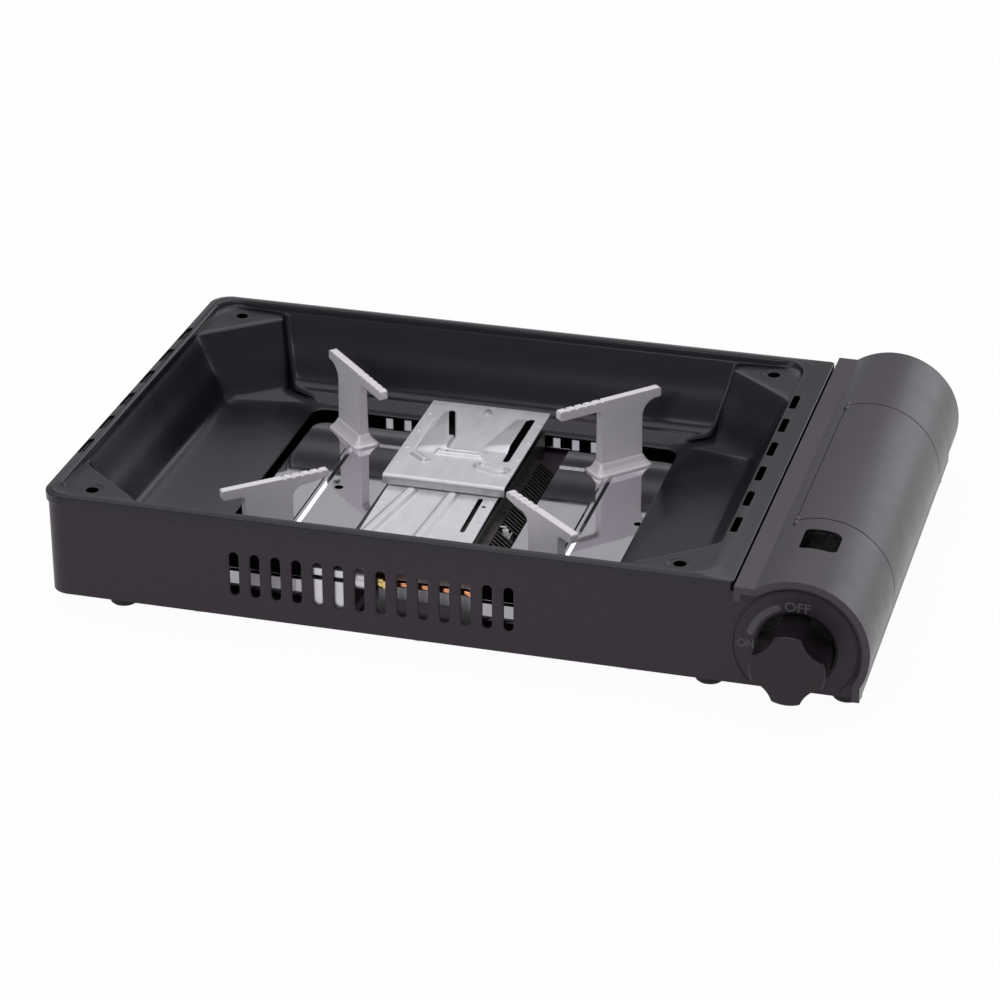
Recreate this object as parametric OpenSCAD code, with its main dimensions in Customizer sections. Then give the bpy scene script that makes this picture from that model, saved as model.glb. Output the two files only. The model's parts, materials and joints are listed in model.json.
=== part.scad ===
// Tabletop gas hot plate with a canister bay on its right side.
// x runs to the right, y to the back, z up. The table is z = 0.
// Pieces are drawn about the middle of the tray and then moved by placed(),
// so that the origin is the middle of the whole object's footprint.

/* [Tray] */
// Width of the tray from its left edge to the ridge on its right
tray_w = 450; // [430:1:480]
// Depth of the tray from front edge to back edge
tray_d = 342; // [334:1:360]
// Height of the tray rim above the table
rim_h = 79; // [74:1:88]
// Width of the flat strip to the right of the ridge
strip_w = 11; // [8:0.5:16]
// Thickness of the tray sheet
tray_t = 1; // [0.8:0.1:1.4]
// Radius of the tray's left corners
tray_corner_r = 15; // [13:1:34]
// Height of the tray's turned down skirt
skirt_h = 7.7; // [5:0.1:9]
// Height of the corner pads above the table
pad_h = 73.5; // [70:0.5:74]
// Width of the floor opening
opening_w = 270; // [240:1:276]
// Depth of the floor opening
opening_d = 252; // [236:1:256]
// Height of the opening's edge above the table
opening_h = 17; // [16:0.5:20]
// Radius of the holes in the corner pads
pad_hole_r = 4.3; // [3:0.1:5]
// Distance between the pad holes from left to right
pad_hole_dx = 394; // [388:1:398]
// Distance between the pad holes from front to back
pad_hole_dy = 295; // [291:1:299]
// Length of one rim slot
rim_slot_l = 21.5; // [10:0.5:26]
// Width of one rim slot
rim_slot_w = 4.8; // [2:0.1:5]
// Distance between two rim slots
rim_slot_pitch = 38.2; // [30:0.2:44]
// Number of rim slots on each side
rim_slots = 6; // [1:1:6]

/* [Housing] */
// Thickness of the housing sheet
wall_t = 1.2; // [0.8:0.1:1.6]
// Distance from the tray's edge in to the housing's face
body_inset = 1.6; // [1.5:0.1:2.4]
// Width of the housing's turned in flanges
flange_w = 9; // [7:0.5:12]
// Height of one front vent
vent_h = 30.9; // [14:0.1:34]
// Width of one front vent
vent_w = 6.2; // [3:0.1:8]
// Height of the middle of the front vents
vent_z = 36.95; // [32:0.05:40]
// Distance between two vents
vent_pitch = 14.15; // [11:0.05:16]
// Number of vents in the front and in the back
vents = 14; // [2:1:14]
// Width of one back vent
back_vent_w = 5.4; // [3:0.1:8]
// Height of one back vent
back_vent_h = 8.6; // [5:0.1:16]
// Height of the middle of the back vents
back_vent_z = 32.5; // [24:0.5:44]

/* [Feet and screws] */
// Radius of a foot
foot_r = 9.3; // [7:0.1:11]
// Height of a foot
foot_h = 6; // [5:0.5:9]
// Radius of a screw's shank
screw_r = 1.9; // [1.4:0.1:2.2]
// Radius of a screw's head
head_r = 3.5; // [3:0.1:4]
// Height of a screw's head
head_h = 2; // [1.4:0.1:2.6]

/* [Canister cover] */
// Outer radius of the round cover
cover_r = 46.7; // [45.5:0.1:50]
// Height of the rim above the round cover's axis
axis_drop = 39.7; // [36:0.1:40]
// Length of the cover from front to back
cover_l = 356; // [352:1:372]
// Thickness of the cover's sheet
cover_t = 1.2; // [0.8:0.1:1.4]
// Gap between the tray and the cover
cover_gap = 1.3; // [1:0.1:4]
// Width of the flat strip between the tray and the round part
cover_flat_w = 13.1; // [10:0.1:18]
// How far the cover's end lips turn in
lip_w = 3.5; // [2:0.1:4]
// Length of the door
door_l = 180; // [160:1:186]
// How far the middle of the door lies behind the middle of the tray
door_y = 3; // [0:0.5:6]
// Gap round the door
door_gap = 1; // [0.4:0.1:1.2]
// Angle below the level at which the door ends
door_end = 25; // [10:1:26]
// Distance from the cover's axis to the hinge line, to the left
hinge_dx = 18.3; // [16:0.1:20]
// Radius of the hinge pins
pin_r = 0.8; // [0.7:0.1:0.9]
// Radius of the hinge knuckles
knuckle_r = 1.5; // [1.5:0.1:2]
// Length of one hinge knuckle
knuckle_l = 5; // [3:0.5:7]
// Width of the window over the regulator
window_w = 24; // [16:0.5:28]
// Length of the window over the regulator
window_l = 27; // [16:0.5:34]

/* [Knob] */
// Distance from the cover's axis to the knob's axis, to the left
knob_dx = 0.8; // [0:0.1:2]
// Height of the cover's axis above the knob's axis
knob_drop = 4.1; // [2:0.1:4.4]
// Radius of the knob over its four lobes
knob_r = 24; // [20:0.1:24.5]
// Length of the knob
knob_l = 34; // [26:0.5:38]
// Radius of the recess round the knob
dish_r = 26; // [25.5:0.1:27.5]
// Depth of the recess round the knob
dish_d = 7; // [5:0.1:9]
// Radius of the spindle
spindle_r = 3; // [2.5:0.1:4]
// Running clearance of the turning and sliding pieces
run_gap = 0.08; // [0.05:0.01:0.1]
// Travel of the igniter's plunger while the knob turns
plunger_travel = 4; // [2:0.1:5]

/* [Canister bay] */
// Radius of the gas canister that the bay takes
canister_r = 33.5; // [32:0.1:34]
// Room round the canister
canister_gap = 0.5; // [0.3:0.1:1]
// Length of the cradle
cradle_l = 150; // [100:1:158]

/* [Burner] */
// Height of the mirror plates
plate_h = 10.5; // [10:0.1:12]
// Thickness of the mirror plates and burner sheets
plate_t = 0.8; // [0.6:0.1:1.2]
// Width of the burner's rear cover
rear_cover_w = 86.4; // [80:0.2:92]
// Height of the burner's rear cover
rear_cover_h = 38; // [36:0.1:42]
// Width of the burner's front cover
front_cover_w = 78; // [70:0.5:80]
// Height of the burner's front cover at its front end
front_cover_low_h = 27; // [26:0.1:28]
// Height of the burner's front cover at its back end
front_cover_h = 31; // [29:0.1:32]
// Distance between two port fins
fin_pitch = 4.4; // [4:0.1:6]
// Radius of the gas pipe
pipe_r = 2.3; // [1.5:0.1:2.6]
// Radius of the mixing tube
mix_r = 6.3; // [5:0.1:6.4]

/* [Trivets] */
// Height of the trivets' top
trivet_h = 67; // [60:0.5:74]
// Thickness of a trivet's blade
trivet_t = 7.5; // [6:0.1:9]
// Depth of a trivet's arms
arm_h = 6.8; // [5:0.1:9]
// Distance from the middle to a trivet's inner end, each way
trivet_in = 63; // [58:0.5:66]
// Distance from the middle to a trivet's outer end, to the side
trivet_out_x = 120.3; // [116:0.1:124]
// Distance from the middle to a back trivet's outer end
trivet_out_back = 123; // [114:0.5:124]
// Distance from the middle to a front trivet's outer end
trivet_out_front = 113.5; // [110:0.5:118]
// Width of a trivet's post
post_w = 34; // [28:0.5:38]

/* [Hidden] */
$fn = 72;
// How far a cut runs past the surface that it opens
cut = 1;

// The tray's sides
tray_left = -tray_w / 2;
ridge_x = tray_w / 2;
tray_right = ridge_x + strip_w;
tray_back = tray_d / 2;

// The housing's faces
vent_lip_w = 1.7;
vent_lip_d = 1;
body_left = tray_left + body_inset;
body_back = tray_back - body_inset;
body_corner_r = tray_corner_r - body_inset;
body_top = rim_h - tray_t;
floor_z = foot_h + wall_t;
wall_top = body_top - 1.4;
strip_drop = 0.8;
skirt_gap = 0.4;
dish_gap = 0.2;
heat_wall_x = tray_right - 4;
heat_wall_top = body_top - strip_drop - 1;

// The canister cover
cover_left = tray_right + cover_gap;
cover_axis_z = rim_h - axis_drop;
cover_flat_z = rim_h - 1.5;
crease_dx = sqrt(pow(cover_r, 2) - pow(cover_flat_z - cover_axis_z, 2));
cover_x = cover_left + cover_flat_w + crease_dx;
cover_front = -176;
cover_back = cover_front + cover_l;
foot_angle = 28;
cover_side_x = cover_x + cover_r * cos(foot_angle);
cover_bottom = foot_h + 1;
cover_skirt_z = cover_flat_z - 10;
panel_gap = 0.3;
panel_r = cover_r - cover_t - panel_gap;
panel_side_x = cover_side_x - cover_t - panel_gap;
panel_top = cover_flat_z - cover_t - panel_gap;

// The door and its hinge
door_front = door_y - door_l / 2;
door_back = door_y + door_l / 2;
sheet_r = cover_r - cover_t / 2;
hinge_x = cover_x - hinge_dx;
hinge_z = cover_axis_z + sqrt(pow(sheet_r, 2) - pow(hinge_dx, 2));
hinge_angle = atan2(hinge_z - cover_axis_z, -hinge_dx);
door_edge = 0.35;
bead_r = cover_t / 2;
strip_edge = bead_r + 0.25;
ledge_w = 4;
ledge_gap = 1;
window_dx = 9.2;
window_side_z = 20;

// The knob, its recess and its spindle
knob_x = cover_x - knob_dx;
knob_z = cover_axis_z - knob_drop;
panel_front = -body_back;
knob_back = panel_front + dish_d - 2.5;
knob_front = knob_back - knob_l;
dish_back = panel_front + dish_d + wall_t;
knob_base_t = 2.5;
knob_round = 1.4;
scoop_r = 20;
scoop_out = 15.5;
dial_x = cover_x - 1.5;
dial_z = cover_axis_z - 3.3;
bead_ring_r = 39.8;
bead_ring_w = 1;
bead_ring_h = 0.6;
dish_flange = 1.4;

// The regulator and the canister's place
canister_z = floor_z + wall_t + canister_r + canister_gap;
bracket_y = door_front - 10;
regulator_r = 22;
regulator_l = 24;
regulator_front = bracket_y - wall_t - regulator_l;
boss_l = 14;
boss_r = 9;
boss_front = regulator_front - boss_l;
collar_r = 15;
collar_l = 6;
port_y = bracket_y + collar_l;
port_r = 4;
port_l = 7;
port_bore_r = 2.1;
spindle_end = regulator_front + 6;
regulator_foot_x = 12;
bracket_foot_x = 34;
bracket_foot_l = 9;
tab_up = 24;
magnet_dx = 22;

// The igniter
cam_y = boss_front - 12;
cam_t = 6;
cam_small_r = 9;
plunger_r = 2.5;
plunger_gap = 0.6;
plunger_l = 14;
plunger_tip = knob_x - cam_small_r - plunger_gap;
piezo_w = 12;
piezo_h = 14;
piezo_l = 18;
piezo_x = plunger_tip - 6 - piezo_l;
piezo_base = 1;

// The gas pipe's route
pipe_y = -161.5;
pipe_low_z = 14;
pipe_bend_r = 8;
pipe_turn_x = 215;
pipe_rise_x = 68.5;
nut_r = 5;
nut_l = 8;
outlet_x = cover_x - 27;
outlet_y = bracket_y - 15;
jet_x = 7;
jet_z = 41.3;
duct_x = -42;
duct_w = 26;
duct_top = 15.4;
bracket_low = 26.5;

// The burner
burner_w = 80;
burner_back = 114;
burner_front = -95;
burner_low = 9;
burner_high = front_cover_low_h - plate_t;
seam_y = -6;
rear_cover_back = 118;
cover_screw_y = 108;
cover_screw_l = 6;
comb_l = 158;
comb_bar = 6;
comb_low = floor_z + 3;
comb_high = 20;
fin_t = 1.4;
rib_x = 36;
rib_y = 9;
rib_back = 111;
edge_bend = 2.4;
electrode_x = 50;
electrode_y = -27;
electrode_r = 2.2;
electrode_low = floor_z + 2.6;
electrode_high = 18;
electrode_wire = 0.7;
electrode_room = 6;
clip_low = floor_z + 5;
clip_h = 2;

// The mirror plates
plate_in = 57.2;
plate_in_left = 52;
plate_out = 186;
plate_back = 140;
plate_tail_y = 119;
plate_tail_x = 8;
ridge_a = 91.2;
ridge_b = 97.8;
ridge_h = 1.6;
ridge_slope = 2.2;
bend_y = 89;
bend_w = 4;
bend_h = 1.2;
bend_out = 84;
comb_gap = 0.7;
plate_top = plate_h + plate_t;

// The trivets
trivet_flare = 6;
trivet_draft = 1;
arm_round = 1.5;
tip_rise = 2.4;
notches = 5;

// Foot and screw places
foot_left_x = -174.5;
foot_mid_x = 220;
foot_right_x = 308;
foot_y = 157;
base_screw_xs = [-120, 30, 170];
base_screw_y = body_back - wall_t - flange_w / 2;

mid_x = (tray_left + cover_x + cover_r) / 2;
mid_y = (knob_front + cover_back) / 2;

paint = [0.16, 0.15, 0.17];
black = [0.06, 0.06, 0.07];
steel = [0.8, 0.81, 0.83];
cast = [0.75, 0.75, 0.76];
brass = [0.8, 0.65, 0.3];
copper = [0.8, 0.45, 0.3];

module placed() {
    translate([-mid_x, -mid_y, 0]) children();
}

// A rectangle with round corners, of one radius on the left and one on the right
module round_rect(x0, x1, y0, y1, rl, rr) {
    translate([x0, y0 + rl]) square([x1 - x0 - rr, y1 - y0 - 2 * rl]);
    translate([x0 + rl, y0]) square([x1 - x0 - rl - rr, y1 - y0]);
    translate([x0 + rl, y0 + rr]) square([x1 - x0 - rl, y1 - y0 - 2 * rr]);
    for (y = [y0 + rl, y1 - rl]) translate([x0 + rl, y]) circle(rl);
    for (y = [y0 + rr, y1 - rr]) translate([x1 - rr, y]) circle(rr);
}

// Stands a drawing of the x-z plane up, running from y0 back to y1
module stand(y0, y1) {
    translate([0, y1, 0]) rotate([90, 0, 0]) linear_extrude(y1 - y0) children();
}

// A cylinder along y
module rod_y(x, y0, y1, z, r) {
    translate([x, y1, z]) rotate([90, 0, 0]) cylinder(r = r, h = y1 - y0);
}

// A cylinder along x
module rod_x(x0, x1, y, z, r) {
    translate([x0, y, z]) rotate([0, 90, 0]) cylinder(r = r, h = x1 - x0);
}

module box(x0, x1, y0, y1, z0, z1) {
    translate([x0, y0, z0]) cube([x1 - x0, y1 - y0, z1 - z0]);
}

// A long hole with round ends, standing in the x-z plane
module upright_slot(x, z, w, h) {
    translate([x - w / 2, z - h / 2 + w / 2]) square([w, h - w]);
    for (s = [-1, 1]) translate([x, z + s * (h - w) / 2]) circle(w / 2);
}

module foot_places() {
    for (x = [foot_left_x, foot_mid_x, foot_right_x], s = [-1, 1])
        translate([x, s * foot_y]) children();
}

module base_screw_places() {
    for (x = base_screw_xs, s = [-1, 1]) translate([x, s * base_screw_y]) children();
}

// The housing: walls, turned in flanges and the two end panels of the bay
module body_outline(inset) {
    round_rect(body_left + inset, heat_wall_x - inset, -body_back + inset, body_back - inset,
        body_corner_r - inset, 2);
}

// The end panel's outline beside the bay
module panel_outline() {
    translate([heat_wall_x - 8, foot_h]) square([cover_x - heat_wall_x + 8, panel_top - foot_h]);
    translate([cover_x, foot_h]) square([panel_side_x - cover_x, cover_axis_z - 10 - foot_h]);
    intersection() {
        translate([cover_x, cover_axis_z]) circle(panel_r, $fn = 144);
        translate([cover_x - panel_r, foot_h]) square([2 * panel_r, 2 * panel_r]);
    }
}

module housing() placed() color(paint) {
    difference() {
        union() {
            translate([0, 0, foot_h]) linear_extrude(wall_top - foot_h) body_outline(0);
            for (s = [-1, 1]) rim_support(s);
            dial_bead();
            stand(panel_front, panel_front + wall_t) panel_outline();
            stand(body_back - wall_t, body_back) panel_outline();
        }
        difference() {
            translate([0, 0, foot_h - cut]) linear_extrude(rim_h) body_outline(wall_t);
            translate([0, 0, floor_z]) linear_extrude(wall_t) flange_ring();
            for (s = [-1, 1]) rim_support(s);
        }
        // The end panels are notched for the skirt on the tray's right side
        box(tray_right - tray_t - 3 * skirt_gap, tray_right + skirt_gap, -tray_back, tray_back,
            skirt_z - skirt_gap, rim_h);
        // The bay is open towards the burner, and the heat wall closes it
        box(heat_wall_x - wall_t - cut, heat_wall_x + cut, panel_front + wall_t, body_back - wall_t,
            0, rim_h);
        front_vents(vent_w, vent_h);
        for (i = [0:vents - 1])
            box(vent_x(i) - back_vent_w / 2, vent_x(i) + back_vent_w / 2, body_back - wall_t - cut,
                body_back + cut, back_vent_z - back_vent_h / 2, back_vent_z + back_vent_h / 2);
        stand(panel_front - cut, panel_front + wall_t + cut)
            translate([knob_x, knob_z]) circle(dish_r + 0.3);
        translate([0, 0, foot_h]) base_screw_places() cylinder(r = screw_r, h = 6 * wall_t);
        translate([0, 0, foot_h]) foot_places() cylinder(r = foot_r / 2, h = 6 * wall_t);
    }
}

function vent_x(i) = (i - (vents - 1) / 2) * vent_pitch - 0.7;

module front_vents(w, h) {
    stand(panel_front - cut, panel_front + wall_t + cut)
        for (i = [0:vents - 1]) upright_slot(vent_x(i), vent_z, w, h);
    for (i = [0:vents - 1]) translate([vent_x(i), panel_front, vent_z]) vent_lip(w, h);
}

// The pressed edges of the front vents bend inward
module vent_lip(w, h) {
    lip = [for (a = [0:30:90]) [w / 2 + vent_lip_w * (1 - sin(a)), vent_lip_d * (1 - cos(a))]];
    edge = concat([[w / 2 - 0.2, -cut], [w / 2 + vent_lip_w, -cut]], lip, [[w / 2 - 0.2, vent_lip_d]]);
    for (s = [-1, 1]) {
        translate([0, 0, s * (h - w) / 2]) rotate([-90, 0, 0]) rotate_extrude() polygon(edge);
        translate([0, 0, -(h - w) / 2]) linear_extrude(h - w)
            polygon([for (p = edge) [s * p.x, p.y]]);
    }
}

// The round bead pressed up from the front panel about the dial
module dial_bead() {
    intersection() {
        translate([dial_x, panel_front, dial_z]) rotate([90, 0, 0]) rotate_extrude($fn = 144) polygon([
            [bead_ring_r - bead_ring_w, -0.2], [bead_ring_r + bead_ring_w, -0.2],
            [bead_ring_r + bead_ring_w / 2, bead_ring_h], [bead_ring_r - bead_ring_w / 2, bead_ring_h]]);
        box(dial_x - 50, dial_x + 50, panel_front - 2, panel_front + 2, foot_h + 3, rim_h);
    }
}

module flange_ring() {
    difference() {
        body_outline(wall_t);
        body_outline(wall_t + flange_w);
    }
}

// The rim rests on a stepped flange along the front and the back
module rim_support(s) {
    outer = body_back - wall_t + 0.3;
    inner = tray_back - 6;
    for (step = [[outer, wall_top - wall_t, wall_top], [tray_back - 4, wall_top - wall_t, body_top]])
        box(tray_left + 50, ridge_x - 50, min(s * inner, s * step[0]), max(s * inner, s * step[0]),
            step[1], step[2]);
}

module bottom_plate() placed() color(paint) {
    gap = wall_t + 0.2;
    difference() {
        union() {
            translate([0, 0, foot_h]) linear_extrude(wall_t) body_outline(gap);
            box(0, panel_side_x - 0.2, -body_back + gap, body_back - gap, foot_h, floor_z);
        }
        translate([0, 0, foot_h - cut]) base_screw_places() cylinder(r = screw_r + 0.2, h = 6);
        translate([0, 0, foot_h - cut]) foot_places() cylinder(r = foot_r / 3, h = 6);
        for (p = trivet_screw_list()) translate([p.x, p.y, foot_h - cut])
            cylinder(r = screw_r + 0.2, h = 6);
        // Room for the recess round the knob
        rod_y(knob_x, -tray_back, dish_back + dish_gap, knob_z, dish_r + dish_flange + dish_gap);
        // Air enters through rows of slots under the burner
        for (i = [-2:2], s = [-1, 1])
            box(i * 16 - 4, i * 16 + 4, s * 60 - 22, s * 60 + 22, foot_h - cut, floor_z + cut);
    }
}

module heat_wall() placed() color(steel) {
    depth = body_back - wall_t - 0.2;
    difference() {
        union() {
            box(heat_wall_x, heat_wall_x + wall_t, -depth, depth, floor_z, heat_wall_top);
            box(heat_wall_x, heat_wall_x + flange_w, -depth, depth, floor_z, floor_z + wall_t);
        }
        rod_x(heat_wall_x - cut, heat_wall_x + flange_w, outlet_y, pipe_low_z, pipe_r + 0.6);
        rod_x(heat_wall_x - cut, heat_wall_x + 3, lead_y, lead_wall_z, lead_r + 0.5);
        translate([0, 0, floor_z - cut]) foot_places() cylinder(r = foot_r / 2, h = 6);
        for (i = [-4:4])
            box(heat_wall_x - cut, heat_wall_x + wall_t + cut, i * 30 - 9, i * 30 + 9,
                heat_wall_top - 16, heat_wall_top - 12);
    }
}

module rubber_feet() placed() color(black) foot_places() {
    cylinder(r1 = foot_r - 1, r2 = foot_r, h = 1);
    translate([0, 0, 1]) cylinder(r = foot_r, h = foot_h - 1);
    cylinder(r = foot_r / 3 - 0.1, h = floor_z);
    translate([0, 0, floor_z]) cylinder(r = foot_r / 3 + 0.8, h = 1);
}

module base_screws() placed() color(steel) base_screw_places()
    screw_up(foot_h, floor_z + wall_t + 1.5);

// A screw with its head under z0 and its point at z1
module screw_up(z0, z1) {
    difference() {
        translate([0, 0, z0 - head_h]) cylinder(r = head_r, h = head_h);
        for (a = [0, 90]) translate([0, 0, z0 - head_h]) rotate(a)
            cube([0.6 * head_r * 2, 0.8, head_h], center = true);
    }
    translate([0, 0, z0 - 0.1]) cylinder(r = screw_r, h = z1 - z0 + 0.1);
}

// The tray is one pressed sheet: rows of points run round it, from the skirt over
// the rim, down the walls and back under the sheet.
function corner3(hx, hy, r) = [for (a = [15, 45, 75])
    [hx - r + r / cos(15) * cos(a), hy - r + r / cos(15) * sin(a), r]];

function row_corners(right3, left3) = concat(
    right3,
    [for (i = [2, 1, 0]) [-left3[i].x, left3[i].y, left3[i].z]],
    [for (i = [0, 1, 2]) [-left3[i].x, -left3[i].y, left3[i].z]],
    [for (i = [2, 1, 0]) [right3[i].x, -right3[i].y, right3[i].z]]);

function unit(v) = v / norm(v);
function turned(v, a) = [v.x * cos(a) - v.y * sin(a), v.x * sin(a) + v.y * cos(a)];
arc_steps = 4;

// Rounds each corner of a closed outline by its own radius
function rounded_row(c, z) = [for (i = [0:len(c) - 1])
    let (n = len(c), b = [c[i].x, c[i].y], a = c[(i + n - 1) % n], d = c[(i + 1) % n],
        u = unit(b - [a.x, a.y]), v = unit([d.x, d.y] - b),
        bend = atan2(u.x * v.y - u.y * v.x, u * v),
        side = unit(v - u), centre = b + side * c[i].z / cos(bend / 2))
    for (k = [0:arc_steps])
        let (p = centre + c[i].z * turned(-side, bend * (k / arc_steps - 0.5))) [p.x, p.y, z]];

// A row at a distance in from the tray's outer edge
function edge_row(inset, z, right = 0, right_r = 3) = rounded_row(row_corners(
    corner3(tray_right - inset - right, tray_back - inset, max(right_r - inset, 0.6)),
    corner3(tray_w / 2 - inset, tray_back - inset, tray_corner_r - inset)), z);

// A row inside the rim, where left and right sides match
function inner_row(inset, r, z) = rounded_row(row_corners(
    corner3(ridge_x - inset, tray_back - inset, r),
    corner3(ridge_x - inset, tray_back - inset, r)), z);

wall_in = 8;
wall_top_x = ridge_x - wall_in;
wall_top_y = tray_back - wall_in - 0.5;
pad_side_y = 109;
pad_mid_x = 167;
pad_mid_y = 151;
pad_end_x = 170;

// A row on the tray's walls, s millimetres in from the top of the wall
function wall_corner(s) = [
    [wall_top_x - s, pad_side_y - 0.2 * s, 14 + 0.3 * s],
    [pad_mid_x - 0.6 * s, pad_mid_y - 0.72 * s, 5 + 0.2 * s],
    [pad_end_x - 0.3 * s, wall_top_y - 0.85 * s, 4]];
function wall_row(s, z) = rounded_row(row_corners(wall_corner(s), wall_corner(s)), z);

function open_row(grow, z) = rounded_row(row_corners(
    corner3(opening_w / 2 + grow, opening_d / 2 + grow, 10 + grow),
    corner3(opening_w / 2 + grow, opening_d / 2 + grow, 10 + grow)), z);

skirt_z = rim_h - skirt_h;
foot_z = opening_h + 9.5;
wall_low_s = 19;
tray_rows = [
    edge_row(0, skirt_z),
    edge_row(0, rim_h - 1.9),
    edge_row(0.4, rim_h - 1.2),
    edge_row(1.3, rim_h - strip_drop - 0.1),
    edge_row(3.3, rim_h - strip_drop + 0.3, strip_w - 3.6, 20),
    edge_row(4, rim_h, strip_w - 3, 20),
    inner_row(6, 19, rim_h),
    inner_row(7.4, 17.6, rim_h - 0.9),
    inner_row(8, 17, rim_h - 2.6),
    inner_row(8.6, 16.4, pad_h),
    wall_row(0.4, pad_h),
    wall_row(1, pad_h - 1.6),
    wall_row(2.6, pad_h - 5),
    wall_row(wall_low_s, foot_z + 6.5),
    wall_row(wall_low_s + 2.4, foot_z + 2.8),
    wall_row(wall_low_s + 6, foot_z + 0.4),
    wall_row(wall_low_s + 9, foot_z - 1),
    open_row(3, opening_h + 0.8),
    open_row(0, opening_h),
    open_row(0, opening_h - tray_t),
    open_row(3 + 0.2, opening_h + 0.8 - tray_t),
    wall_row(wall_low_s + 9, foot_z - 1 - tray_t),
    wall_row(wall_low_s + 6 - 0.2 * tray_t, foot_z + 0.4 - tray_t),
    wall_row(wall_low_s + 2.4 - 0.7 * tray_t, foot_z + 2.8 - 0.7 * tray_t),
    wall_row(wall_low_s - 0.9 * tray_t, foot_z + 6.5 - 0.4 * tray_t),
    wall_row(2.6 - 0.9 * tray_t, pad_h - 5 - 0.4 * tray_t),
    wall_row(1 - 0.7 * tray_t, pad_h - 1.6 - 0.7 * tray_t),
    wall_row(0.4 - 0.3 * tray_t, pad_h - tray_t),
    inner_row(8.6 - tray_t, 16.4 + tray_t, pad_h - tray_t),
    inner_row(8 - tray_t, 17 + tray_t, rim_h - 2.6 - 0.4 * tray_t),
    inner_row(7.4 - 0.7 * tray_t, 17.6 + 0.7 * tray_t, rim_h - 0.9 - 0.7 * tray_t),
    inner_row(6, 19, rim_h - tray_t),
    edge_row(4, rim_h - tray_t, strip_w - 3, 20),
    edge_row(3.3, rim_h - strip_drop + 0.3 - tray_t, strip_w - 3.6, 20),
    edge_row(1.6, rim_h - strip_drop - 0.1 - tray_t),
    edge_row(0.4 + 0.75 * tray_t, rim_h - 1.2 - tray_t),
    edge_row(tray_t, rim_h - 1.9 - 0.7 * tray_t),
    edge_row(tray_t, skirt_z),
];

// Joins the rows into one closed ring of faces
module ring_skin(rows) {
    m = len(rows);
    n = len(rows[0]);
    points = [for (r = rows, p = r) p];
    faces = [for (i = [0:m - 1], j = [0:n - 1])
        let (a = i * n + j, b = i * n + (j + 1) % n, c = ((i + 1) % m) * n + (j + 1) % n,
            d = ((i + 1) % m) * n + j)
        each [[a, b, c], [a, c, d]]];
    polyhedron(points, faces, convexity = 8);
}

module tray() placed() color(paint) difference() {
    ring_skin(tray_rows);
    for (sx = [-1, 1], sy = [-1, 1])
        translate([sx * pad_hole_dx / 2, sy * pad_hole_dy / 2, pad_h - 4]) cylinder(r = pad_hole_r, h = 8);
    for (sx = [-1, 1], i = [0:rim_slots - 1])
        translate([sx * (ridge_x - 3.2), (i - (rim_slots - 1) / 2) * rim_slot_pitch, rim_h])
            cube([rim_slot_w, rim_slot_l, 6], center = true);
}

// The canister cover
module cover_outline(shrink) {
    difference() {
        union() {
            translate([cover_x, cover_axis_z]) circle(cover_r - shrink, $fn = 144);
            translate([cover_left + shrink, cover_axis_z])
                square([cover_x - cover_left - shrink, cover_flat_z - cover_axis_z - shrink]);
            translate([cover_x, 0]) square([cover_side_x - cover_x - shrink, cover_axis_z]);
        }
        translate([0, -40]) square([400, 40 + cover_bottom]);
        translate([0, -40]) square([cover_x, 40 + cover_skirt_z]);
    }
}

module cover_sheet_outline(shrink, t) {
    difference() {
        cover_outline(shrink);
        cover_cut_outline(shrink + t);
    }
}

// The cover's inner outline, left open below
module cover_cut_outline(shrink) {
    translate([cover_x, cover_axis_z]) circle(cover_r - shrink, $fn = 144);
    translate([cover_left + shrink, 0])
        square([cover_x - cover_left - shrink, cover_flat_z - shrink]);
    translate([cover_x, 0]) square([cover_side_x - cover_x - shrink, cover_axis_z]);
}

// A wedge of the x-z plane about the cover's axis, from angle a up to angle b
module wedge(a, b, r) {
    translate([cover_x, cover_axis_z])
        polygon(concat([[0, 0]],
            [for (k = [0:8]) let (w = a + (b - a) * k / 8) 1.2 * r * [cos(w), sin(w)]]));
}

// A curved strip between two radii and two angles
module arc_strip(r_out, r_in, a, b) {
    intersection() {
        translate([cover_x, cover_axis_z]) difference() {
            circle(r_out, $fn = 144);
            circle(r_in, $fn = 144);
        }
        wedge(a, b, r_out);
    }
}

function edge_turn(d) = atan(d / sheet_r);

// The four knuckles: first the y where each pair meets, then the way the door lies
knuckle_ends = [[door_front, 1], [door_back, -1]];

module fixed_knuckle(e, r, extra) {
    near = e[0];
    far = e[0] - e[1] * (knuckle_l + extra);
    rod_y(hinge_x, min(near, far), max(near, far), hinge_z, r);
}

module door_knuckle(e, r, extra) {
    near = e[0] + e[1] * (door_gap - extra);
    far = e[0] + e[1] * (door_gap + knuckle_l + extra);
    rod_y(hinge_x, min(near, far), max(near, far), hinge_z, r);
}

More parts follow.
